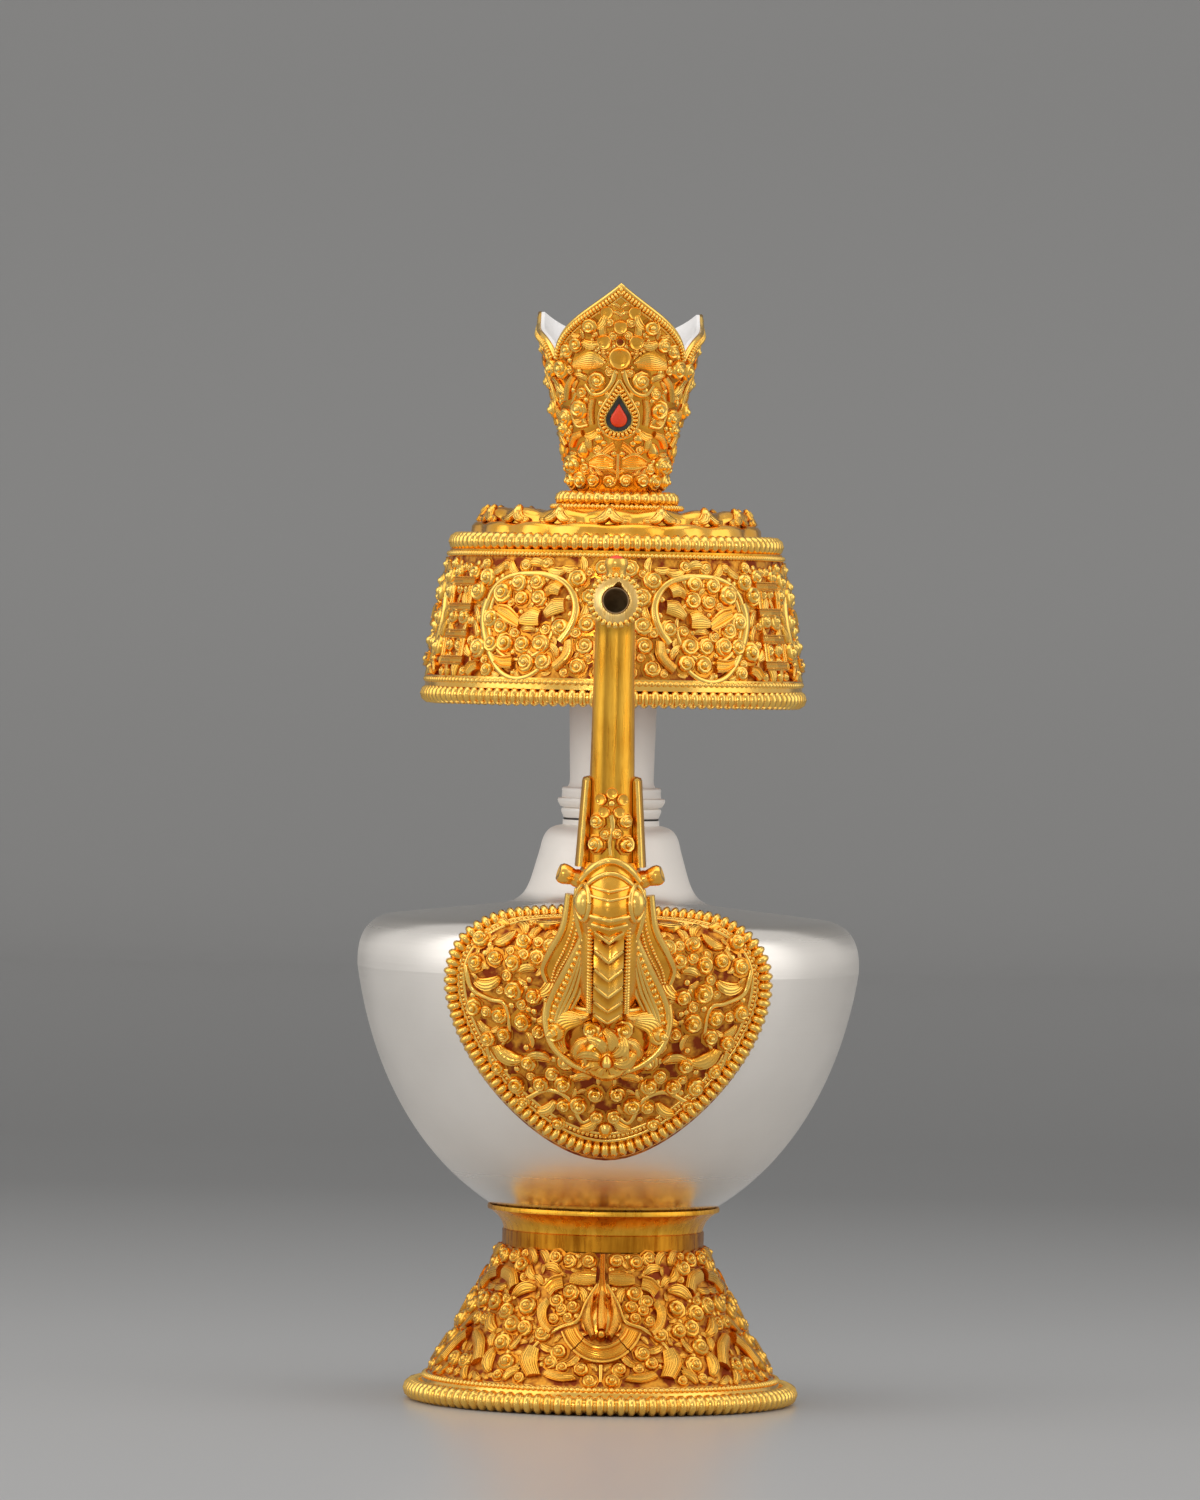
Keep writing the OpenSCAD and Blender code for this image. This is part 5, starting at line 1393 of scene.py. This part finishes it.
# Spout: a bent tapering tube that rises out of the makara's mouth
spout = {"rootF": 51.2, "rootZ": 86.8, "rootL": 8.0, "rootClimb": 30.0, "bend": 15.0, "riserL": 62.6,
         "riserClimb": 87.0, "tubeR": 5.2, "tipR": 4.15, "tipBend": 7.0, "nozzleClimb": 4.0, "nozzleL": 1.0,
         "lipL": 1.8, "lipR": 4.9, "bore": 2.6, "lining": 0.12}
elbowS = spout["rootL"] + spout["bend"] * math.radians(spout["riserClimb"] - spout["rootClimb"])
riserS = elbowS + spout["riserL"]
tipS = riserS + spout["tipBend"] * math.radians(spout["riserClimb"] - spout["nozzleClimb"])


def spoutFrame(s):  # a place on the spout's line with the directions along it and to its outer side
    def ahead(a):
        return Vector((0, -math.cos(math.radians(a)), math.sin(math.radians(a))))

    def side(a):
        return Vector((0, math.sin(math.radians(a)), math.cos(math.radians(a))))

    climb = spout["rootClimb"]
    p = Vector((0, -spout["rootF"], spout["rootZ"])) + ahead(climb) * min(s, spout["rootL"])
    if s > spout["rootL"]:
        climb += math.degrees((min(s, elbowS) - spout["rootL"]) / spout["bend"])
        p += (side(spout["rootClimb"]) - side(climb)) * spout["bend"]
    if s > elbowS:
        p += ahead(climb) * (min(s, riserS) - elbowS)
    if s > riserS:
        turn = math.degrees((min(s, tipS) - riserS) / spout["tipBend"])
        p += (side(climb - turn) - side(climb)) * spout["tipBend"]
        climb -= turn
    if s > tipS:
        p += ahead(climb) * (s - tipS)
    return p, ahead(climb), -side(climb)


def around(front, a):  # a direction out from the spout's line, at an angle from its outer side
    return front * math.cos(a) + Vector((1, 0, 0)) * math.sin(a)


def tubeR(s):
    t = min(max((s - elbowS) / spout["riserL"], 0), 1)
    return spout["tubeR"] + (spout["tipR"] - spout["tubeR"]) * t


class SpoutWall:  # a skin round the spout's line, laid out in degrees round it and millimetres along it
    def __init__(self, radius):
        self.radius = radius

    def step(self, v):
        return self.radius(v) * math.pi / 180

    def at(self, u, v):
        p, along, front = spoutFrame(v)
        a = math.radians(u)
        out = around(front, a)
        right = Vector((1, 0, 0)) * math.cos(a) - front * math.sin(a)
        slope = (self.radius(v + 0.2) - self.radius(v - 0.2)) / 0.4
        normal = (out - along * slope).normalized()
        return p + out * self.radius(v), right, (along + out * slope).normalized(), normal


def pipe(name, rings, sides=48, stain=None):  # closed skin over rings of (distance along the spout, radius)
    verts = []
    for s, radius in rings:
        p, along, front = spoutFrame(s)
        for a in fullTurn(sides):
            r = radius(math.degrees(a)) if callable(radius) else radius
            verts.append(p + around(front, a) * r)
    # one mid painted light level along the whole pipe
    floats = {"relief": [0.5] * len(verts)}
    if stain:
        floats["stain"] = [stain(360 * k / sides) for ring in rings for k in range(sides)]
    return closeUp(newMesh(name, verts, quads(len(rings), sides), floats), 45)


def lined(places, outer, inner):  # rings up the outside and back down the inside
    return [(s, outer(s)) for s in places] + [(s, inner) for s in places[::-1]]


def streaks(angle):  # painted dark reflection: a brown band left of the seam, a thinner line right of it
    turn = wrapped(angle)
    return 0.6 * hump(turn, -22, 11) + 0.25 * hump(turn, 12, 5)


seam = {"tall": 0.2, "at": 4, "wide": 3.5, "start": elbowS + 10, "groove": 0.16, "grooveAt": -12,
        "grooveWide": 10}


def seamed(s):  # the drawn tube has a lapped seam down its outer side, and a groove beside it
    def radius(angle):
        turn = wrapped(angle)
        lap = seam["tall"] * hump(turn, seam["at"], seam["wide"]) if s > seam["start"] else 0
        return tubeR(s) + lap - seam["groove"] * hump(turn, seam["grooveAt"], seam["grooveWide"])
    return radius


def notched(base):  # the mouth is cut to a small point at its top
    return lambda angle: base + 1.1 * hump(angle, 170, 13)


boreR = spout["bore"] + spout["lining"]
tubeRings = lined(stops(1, tipS - 1, 90), seamed, boreR)
dress("spoutTube", pipe("spoutTube", tubeRings, 90, streaks), goldPlain, "vase",
      ["spout_root", "spout_elbow", "spout_tube", "spout_tip"])
lipStart = tipS + spout["nozzleL"]
lipEnd = lipStart + spout["lipL"]
lip = [(tipS, boreR), (tipS, spout["tipR"]), (lipStart, spout["tipR"]), (lipStart, spout["lipR"] - 0.1),
       (lipEnd - 0.2, spout["lipR"] - 0.05), (lipEnd, spout["lipR"] - 0.25),
       (lipEnd + 0.02, notched(spout["bore"] + 0.35)), (lipEnd - 0.3, notched(boreR))]
dress("nozzleLip", pipe("nozzleLip", lip, 72), goldWorn, "vase", ["nozzle_lip"])
inBore = lined(stops(4, lipEnd - 4.4, 60), lambda s: boreR, spout["bore"] - 0.05)
dress("spoutBore", pipe("spoutBore", inBore, 36), bore, "vase")
mouth = SpoutWall(lambda s: spout["lipR"] + 0.2)
mouthLine = [mouth.at(u, lipStart + spout["lipL"] * 0.7)[0] for u in range(0, 360, 5)]
beadRow("nozzleBeads", [mouthLine], True, 1.25, (0.84, 0.84, 0.62), "vase", ["nozzle_beads"])

jewel = {"forward": -low("spout_jewel_cup").y - 2.5, "z": high("spout_jewel_cup").z,
         "cup": ((1.7, -4.4), (2.1, -4.4), (2.05, -1.6), (2.2, -0.9), (2.45, -0.4), (2.4, 0.5), (2.2, 1.1),
                 (1.75, 1.15), (1.7, -0.7)),
         "stone": ((0, -1.4), (1.6, -0.9), (1.7, 0.6), (1.5, 1.2), (1.0, 1.6), (0.4, 1.8), (0, 1.83))}
for name, part, material, slot, node in (("jewelCup", "cup", gold, "gilt", "spout_jewel_cup"),
                                         ("jewelStone", "stone", coral, "coral", "spout_jewel")):
    outline = [(r, jewel["z"] + z) for r, z in jewel[part]]
    piece = turned(name, outline, material, "vase", [node], 32, 60)
    piece.data.transform(Matrix.Translation((0, -jewel["forward"] * mm, 0)))

# Sheath: half sleeve behind the tube's foot, with sprigs on the tube inside it
sheath = {"start": 14.0, "length": 18.0, "wall": 1.6, "open": 66.0, "flare": 0.9, "rows": 20, "count": 40}
sheathS, sheathSpan = elbowS + sheath["start"], 360 - 2 * sheath["open"]


def sheathMesh():
    sections = []
    ring = stops(sheath["open"], sheathSpan, sheath["count"])
    for i, s in enumerate(stops(sheathS, sheath["length"], sheath["rows"])):
        p, along, front = spoutFrame(s)
        outer = tubeR(s) + sheath["wall"] + sheath["flare"] * (1 - i / sheath["rows"])
        loop = [(angle, outer) for angle in ring] + [(angle, tubeR(s) + 0.1) for angle in ring[::-1]]
        sections.append([p + around(front, math.radians(angle)) * r for angle, r in loop])
    return skin("spoutSheath", *swept(sections), 0.5)


def sleeveRadius(s):
    return tubeR(s) + sheath["wall"] * 0.6 + 0.8 * (1 - (s - elbowS - sheath["start"]) / sheath["length"])


dress("spoutSheath", sheathMesh(), goldPlain, "vase", ["spout_sheath"])
sleeve = SpoutWall(sleeveRadius)
sleeveS = stops(sheathS, sheath["length"], 12)
sleeveLines = [([sleeve.at(side * sheath["open"], s)[0] for s in sleeveS], 0.8, 0.62) for side in (1, -1)]
sleeveTop = [sleeve.at(u, sleeveS[-1])[0] for u in stops(sheath["open"], sheathSpan, 24)]
sleeveLines.append((sleeveTop, 0.62, 0.62))
ridgeLines("sheathEdges", sleeveLines, "vase")
sprigs = Ornament(SpoutWall(tubeR), [0], lambda u, up: (u, elbowS + up))
for u, up in ((0, 29.5), (-26, 28.2), (26, 28.2), (-17, 25.6), (17, 25.6)):
    sprigs.put("cup", u, up, 2.6, tall=0.9, pair=False)
sprigs.put("dot", 0, 27.4, 1.7, tall=1.3, pair=False)
sprigs.ridge([(0, 25), (4, 22.5), (-3, 19.5), (0, 16.5)], 0.75, 0.4, pair=False)
sprigs.putAll("curl", [(36, 23.6, 3.4, 60, 1), (38, 18.8, 4.0, 60, -1), (14, 21.0, 2.6, 60, 1)], tall=0.7)
sprigs.grow("sheathSprigs", "vase")
print("spout set")

# Makara: mane on the plate, bent neck with a scaled belly, head that bites the tube
makara = {"r": 6.7, "boreR": 5.3, "beltHalf": 3.1, "scale": 2.7, "lean": 0.55, "front": 8.7, "side": 6.9,
          "headL": 15.0}
mane = {"sides": 48, "boreR": 5.4, "away": 1.0, "lobes": 10, "lobe": 0.03,
        "profile": ((9.0, 6.9), (7.5, 7.6), (6.0, 8.9), (4.5, 10.4), (3.0, 11.7), (1.5, 12.5), (0.0, 12.8),
                    (-3.0, 12.9), (-8.0, 12.9))}


def maneRadius(s):
    for (s0, r0), (s1, r1) in zip(mane["profile"], mane["profile"][1:]):
        if s >= s1:
            return r0 + (r1 - r0) * (min(s, s0) - s0) / (s1 - s0)


def maneMesh():  # a lobed bell whose foot ends on the belly's skin
    p, along, front = spoutFrame(0)
    verts = []
    for a in fullTurn(mane["sides"]):
        out = around(front, a)
        for line, step in ((mane["profile"], 1), ([(s, mane["boreR"]) for s, r in mane["profile"]], -1)):
            spots = []
            for s, r in line:
                spot = p + along * s + out * r * (1 + mane["lobe"] * math.cos(mane["lobes"] * a))
                if spots and inBelly(spot, mane["away"]):
                    spot = narrowed(spot, spots[-1], lambda q: inBelly(q, mane["away"]), 20)[1]
                spots.append(spot)
            verts += spots[::step]
    return skin("makaraMane", verts, quads(mane["sides"], len(verts) // mane["sides"]), 0.35, 60)


dress("makaraMane", maneMesh(), gold, "vase", ["makara_mane"])
neckMesh = pipe("makaraNeck", lined(stops(6, elbowS - 5, 20), lambda s: makara["r"], makara["boreR"]))
dress("makaraNeck", neckMesh, gold, "vase", ["makara_neck"])


def onBelt(s, x, rise):  # a place on the neck's outer side, x millimetres from its middle
    p, along, front = spoutFrame(s)
    return p + Vector((x, 0, 0)) + front * (math.sqrt(makara["r"] ** 2 - x * x) + rise)


def beltMesh():  # overlapping scales down the outer side of the neck
    sections, relief = [], []
    half = makara["beltHalf"]
    for s in stops(7, elbowS + 1.6 - 7, 80):
        row = []
        for k in range(13):
            x = half * (k - 6) / 6
            lap = ((s - abs(x) * makara["lean"]) / makara["scale"]) % 1
            share = (1 - lap) * min(1, lap * 6)
            # painted light: bright on each scale's raised part, dark where it laps under the next
            relief.append(0.1 + 0.9 * share)
            row.append(onBelt(s, x, 0.2 + 1.7 * share))
        p, along, front = spoutFrame(s)
        row += [p + Vector((side * half, 0, 0)) + front * mane["boreR"] for side in (1, -1)]
        relief += [0.2, 0.2]
        sections.append(row)
    verts, faces = swept(sections)
    return closeUp(newMesh("makaraBelly", verts, faces, {"relief": relief}), 50)


dress("makaraBelly", beltMesh(), gold, "vase", ["makara_belly"])
scaleLines = []
for n in range(3, int((elbowS + 1) / makara["scale"]) + 1):  # a bright edge on every scale
    across = [(makara["beltHalf"] - 0.25) * k / 6 for k in range(-6, 7)]
    line = [onBelt(makara["scale"] * (n + 0.14) + abs(x) * makara["lean"], x, 1.5) for x in across]
    scaleLines.append((line, 0.4, 0.4))
ridgeLines("makaraScaleEdges", scaleLines, "vase")
ropeWall = SpoutWall(lambda s: makara["r"] + 0.55)
ropeS = stops(6.5, elbowS + 1.5 - 6.5, 20)
ropes = [[ropeWall.at(side * (31 + (s - 6) * 0.1), s)[0] for s in ropeS] for side in (1, -1)]
beadRow("makaraRopes", ropes, False, 0.72, (0.8, 0.8, 0.44), "vase")


def headRadius(s, angle):  # a snout in front, hollows by the eyes, cheeks drawn in behind
    t = (s - elbowS) / makara["headL"]
    swell = 0.78 + 0.3 * math.sin(math.pi * min(max(t * 0.9 + 0.08, 0), 1)) ** 0.8
    turn = wrapped(angle)
    a = math.radians(turn)
    r = 1 / math.sqrt((math.cos(a) / makara["front"]) ** 2 + (math.sin(a) / makara["side"]) ** 2)
    snout = 1.5 * hump(turn, 0, 30) * hump(t, 0.38, 0.26)
    dent = -0.9 * hump(abs(turn), 44, 9) * hump(t, 0.5, 0.3)
    back = -1.2 if abs(turn) > 120 else -1.2 * max(0, (abs(turn) - 90) / 30)
    return max(r * swell + snout + dent + back * (1 - t * 0.3), 5.5)


headS = stops(elbowS - 0.6, makara["headL"] + 0.6, 30)
headMesh = pipe("makaraHead", lined(headS, lambda s: lambda angle: headRadius(s, angle), makara["boreR"]), 72)
dress("makaraHead", headMesh, gold, "vase", ["makara_head"])


def headFrame(angle, up, proud=0.0):
    return SpoutWall(lambda s: headRadius(s, angle) + proud).at(angle, elbowS + up)


def headLine(places, proud):  # places as (angle, up)
    return [headFrame(angle, up, proud)[0] for angle, up in places]


eyes = {"angle": 42.0, "ball": 38.5, "up": 6.8, "wide": 17.0, "tall": 3.8, "size": (2.3, 3.1, 2.6)}
headLines = []
for half, up, bend, proud, thick in ((52, 11.2, 1.7, 0.3, 0.85), (44, 8.6, 1.9, 0.15, 0.6)):  # brows
    brow = [(u, up + 4.4 * math.cos(math.radians(u * bend))) for u in range(-half, half + 1, 4)]
    headLines.append((headLine(brow, proud), thick, thick))
for up, thick in ((9.4, 0.4), (7.6, 0.35), (3.4, 0.5), (1.6, 0.45)):  # folds across the snout
    headLines.append((headLine([(u, up + abs(u) * 0.035) for u in range(-24, 25, 2)], 0.2), thick, thick))
for side in (1, -1):  # lids, and a line behind each eye
    lid = [(side * eyes["angle"] + eyes["wide"] * math.cos(math.radians(a)),
            eyes["up"] + eyes["tall"] * math.sin(math.radians(a))) for a in range(0, 361, 15)]
    headLines.append((headLine(lid, 0.35), 0.6, 0.6))
    cheek = [(side * (eyes["angle"] + 18 + 4 * t), 9.5 - 13 * t) for t in stops(0, 1, 10)]
    headLines.append((headLine(cheek, 0.3), 0.6, 0.7))
ridgeLines("makaraBrows", headLines, "vase")


def eyeMesh():  # long eyeballs that look out along the head's skin
    parts = []
    wide, tall, deep = eyes["size"]
    for side in (1, -1):
        place, right, up, out = headFrame(side * eyes["ball"], eyes["up"])
        verts = []
        for i in range(9):
            b = math.pi * (i / 8 - 0.5)
            verts += [place + (right * math.cos(b) * math.cos(a) * wide + out * math.sin(b) * deep
                               + up * math.cos(b) * math.sin(a) * tall) for a in fullTurn(16)]
        parts.append((verts, quads(9, 16, False)))
    return skin("makaraEyes", *joined(*parts), 0.9, 80)


dress("makaraEyes", eyeMesh(), gold, "vase", ["makara_eyes"])
ear = {"angle": 82, "up": 11.4, "axis": (0.93, -0.2, 0.3), "sides": 20,
       "profile": ((0, -1.5), (1.9, -1.5), (1.9, 0.4), (1.7, 1.0), (1.85, 1.5), (2.15, 2.8), (2.1, 3.6),
                   (1.7, 4.2), (0.9, 4.0), (0, 3.8))}


def earMesh():
    parts = []
    count = len(ear["profile"])
    rows = enumerate(quads(ear["sides"], count))
    faces = [face for k, face in rows if (k + 1) % count]  # the profile is open along its axis
    for side in (1, -1):
        base = headFrame(side * ear["angle"], ear["up"])[0]
        x, y, z = ear["axis"]
        axis = Vector((side * x, y, z)).normalized()
        across = axis.cross(Vector((0, 0, 1))).normalized()
        other = axis.cross(across)
        verts = [base + axis * h + (across * math.cos(a) + other * math.sin(a)) * r
                 for a in fullTurn(ear["sides"]) for r, h in ear["profile"]]
        parts.append((verts, faces))
    return skin("makaraEars", *joined(*parts), 0.7, 50)


dress("makaraEars", earMesh(), gold, "vase", ["makara_ears"])


def lofted(inner, outer, bulge, thick):  # a curved leaf between two lines, with a back to it
    face = Vector((0, -0.94, 0.34))
    sections = []
    for p, q in zip(inner, outer):
        a, b = Vector(p), Vector(q)
        top = [a.lerp(b, t) + face * bulge * math.sin(math.pi * t) for t in stops(0, 1, 6)]
        sections.append(top + [b - face * thick, a - face * thick])
    return swept(sections)


def between(inner, outer, share, lift):  # a line part of the way across a leaf, lifted off it
    return [Vector(p).lerp(Vector(q), share) + Vector(lift) for p, q in zip(inner, outer)]


# Ruff: two leaves on each side of the neck, each between an inner and an outer line
ruff = {
    "upper": ([(6.0, -67.5, 109), (5.6, -67, 104.5), (6.4, -64.8, 99.5), (8.6, -60.4, 95.5),
               (10.6, -57, 92.6)],
              [(8.4, -66.0, 111), (9.5, -64.6, 104), (12.3, -60.8, 98.5), (13.6, -57.4, 95.0),
               (12.8, -56.2, 92.4)], 0.5),
    "lower": ([(4.6, -68.6, 100), (4.9, -66.9, 95.6), (5.6, -63.4, 91), (7.2, -60, 87.4), (8.6, -58.6, 84.6)],
              [(5.4, -68.0, 102), (8.2, -64.6, 96.2), (10.9, -60.2, 91), (12.3, -57.8, 87.2),
               (12.6, -56.8, 84.0)], 0.8)}
hem = [(12.5, -57.4, 88), (12.9, -57.0, 84.0), (11.4, -57.2, 79.0), (7.6, -57.4, 75.4), (3.4, -57.4, 73.6)]
ruffEdge = 0.95


def sided(points, side, steps):  # a smooth line on one side or the other
    return smoothLine([(side * x, y, z) for x, y, z in points], steps)


ruffParts, ruffLines, grainLines, studLines = [], [], [], []
for part, (inner, outer, bulge) in ruff.items():
    for side in (1, -1):
        a, b = sided(inner, side, 6), sided(outer, side, 6)
        ruffParts.append(lofted(a, b, bulge, 1.6))
        ruffLines.append((b, ruffEdge, ruffEdge * 0.8))
        if part == "upper":
            grainLines += [between(a, b, share, (0, -0.35, 0)) for share in (0.25, 0.5)]
        else:
            studLines.append(between(a, b, 0.72, (0, -0.3, 0)))
            ruffLines.append((a, 0.5, 0.5))
            folds = [between(a, b, share, (0, -0.5, 0.1)) for share in (0.2, 0.38, 0.54)]
            ruffLines += [(fold, 0.3, 0.6) for fold in folds]
dress("makaraRuff", skin("makaraRuff", *joined(*ruffParts), 0.45, 60), gold, "vase")
ruffLines += [(sided(hem, side, 8), ruffEdge, 0.6) for side in (1, -1)]
ridgeLines("makaraRuffEdges", ruffLines, "vase")
beadRow("makaraGrains", grainLines, False, 0.85, (0.45, 0.45, 0.42), "vase")
beadRow("makaraStuds", studLines, False, 1.5, (0.85, 0.85, 0.62), "vase")

maneCurls = Ornament(SpoutWall(maneRadius), [0])
maneCurls.strip([(30, 9.4), (58, 7.2), (78, 4.2), (68, 1.0), (46, -0.2)],
                [(24, 8.8), (34, 6.4), (44, 4.2), (42, 2.4), (36, 1.0)], 1.9)
maneCurls.strip([(22, 5.0), (34, 3.6), (36, 0.6), (30, -0.6)],
                [(16, 4.4), (22, 3.0), (24, 1.2), (22, -0.4)], 1.5)
maneCurls.ridge([(30, 9.4), (60, 7.4), (82, 4.2), (70, 0.6), (46, -0.6)], 0.8, 0.6)
maneCurls.put("curl", 21, 6.2, 4.8, 60, -1, 0.9)
maneCurls.put("curl", 54, 2.4, 5.0, 160, 1, 1.1)
knob = {"v": 1.7, "base": 10.4, "petals": 8, "r": 3.2, "petal": 5.4, "cap": 4.6}
maneCurls.put("cup", 0, knob["v"], knob["base"], tall=0.5, pair=False)
for a in fullTurn(knob["petals"]):  # a half-open flower under the belly
    u, v = knob["r"] * math.sin(a) / maneCurls.wall.step(knob["v"]), knob["v"] + knob["r"] * math.cos(a)
    maneCurls.put("leaf", u, v, knob["petal"], -math.degrees(a), 1, 1.3, 1.35, False)
maneCurls.put("bud", 0, knob["v"], knob["cap"], tall=1.6, pair=False)
for kind, u, v, size, turn, hand in (("leaf", 7, 5.0, 5.0, -160, -1), ("curl", 17, -0.8, 4.2, 200, 1),
                                     ("curl", 78, 7.0, 4.6, 20, -1), ("leaf", 86, 2.4, 5.4, 150, 1),
                                     ("curl", 36, -2.6, 4.4, 260, -1)):
    maneCurls.put(kind, u, v, size, turn, hand, 0.9)
maneCurls.grow("maneCurls", "vase")
print("makara set")

# What shows of the plain CAD pieces
for node, material in (("canopy_plate", goldPlain), ("canopy_hub", goldPlain), ("canopy_lining", ground),
                       ("neck_socket", silverDull), ("neck_spigot", silverDull), ("seal_washer", hide)):
    mesh = bpy.data.objects[node].data
    mesh.materials.clear()
    mesh.materials.append(material)

# Studio: pale sweep, soft lamps, camera at the photograph's place
stage = {"floor": (0.465, 0.463, 0.46), "dim": (0.205, 0.204, 0.202), "wall": (0.385, 0.382, 0.377),
         "air": (0.58, 0.576, 0.572), "half": 2.6, "front": -3.0, "back": 2.4, "bend": 0.6, "height": 2.8}


# painted light on the sweep: the floor painted bright near the camera, painted shade behind the object,
# lighter again up the wall
def sweepFinish(graph):
    away = graph.along("Y")
    colour = graph.blend(away.fitted(0.02, 0.75), stage["floor"], stage["dim"])
    colour = graph.blend(away.fitted(1.0, 2.6), colour, stage["wall"])
    return graph.surface(Base_Color=colour, Roughness=0.3, Specular_IOR_Level=0.35)


line = [(stage["front"], 0.0), (stage["back"], 0.0)]
line += [(stage["back"] + stage["bend"] * math.sin(a), stage["bend"] * (1 - math.cos(a)))
         for a in stops(0, math.pi / 2, 16)[1:]]
line += [(stage["back"] + stage["bend"], stage["height"])]
verts = [(x / mm, y / mm, z / mm) for y, z in line for x in (-stage["half"], stage["half"])]
faces = [(2 * i, 2 * i + 1, 2 * i + 3, 2 * i + 2) for i in range(len(line) - 1)]
mesh = newMesh("studioSweep", verts, faces)
mesh.polygons.foreach_set("use_smooth", [True] * len(mesh.polygons))
mesh.materials.append(finish("sweepPaper", sweepFinish))
sweep = bpy.data.objects.new("studioSweep", mesh)
scene.collection.objects.link(sweep)

world = bpy.data.worlds.new("studio")
scene.world = world
world.use_nodes = True
world.node_tree.nodes["Background"].inputs[0].default_value = (*stage["air"], 1)
world.node_tree.nodes["Background"].inputs[1].default_value = 1.0
lamps = {"left": ((-1.25, -0.55, 0.75), (1.3, 1.5), 6.8), "right": ((1.3, -0.45, 0.6), (1.1, 1.4), 4.6),
         "top": ((0.0, -0.25, 1.55), (1.6, 1.3), 7.0), "front": ((-0.5, -2.3, 0.62), (0.45, 0.35), 3.6)}
lampAim = Vector((0, 0, 0.12))
for name, (place, size, power) in lamps.items():
    lamp = bpy.data.lights.new(name, "AREA")
    lamp.shape = "RECTANGLE"
    lamp.size, lamp.size_y = size
    lamp.energy = power
    holder = bpy.data.objects.new(name + "Lamp", lamp)
    holder.location = place
    holder.rotation_euler = (lampAim - Vector(place)).to_track_quat("-Z", "Y").to_euler()
    scene.collection.objects.link(holder)

view = {"place": (-0.00265, -2.103, 0.1724), "pitch": 0.88, "roll": 1.1, "lens": 234.7, "sensor": 36.0}
camera = bpy.data.cameras.new("photographView")
camera.lens = view["lens"]
camera.sensor_fit = "VERTICAL"
camera.sensor_height = view["sensor"]
viewer = bpy.data.objects.new("photographView", camera)
viewer.matrix_world = (Matrix.Translation(view["place"])
                       @ Matrix.Rotation(math.radians(90 - view["pitch"]), 4, "X")
                       @ Matrix.Rotation(math.radians(view["roll"]), 4, "Z"))
scene.collection.objects.link(viewer)
scene.camera = viewer

for motif in list(motifSet.objects):
    bpy.data.objects.remove(motif)
bpy.data.collections.remove(motifSet)
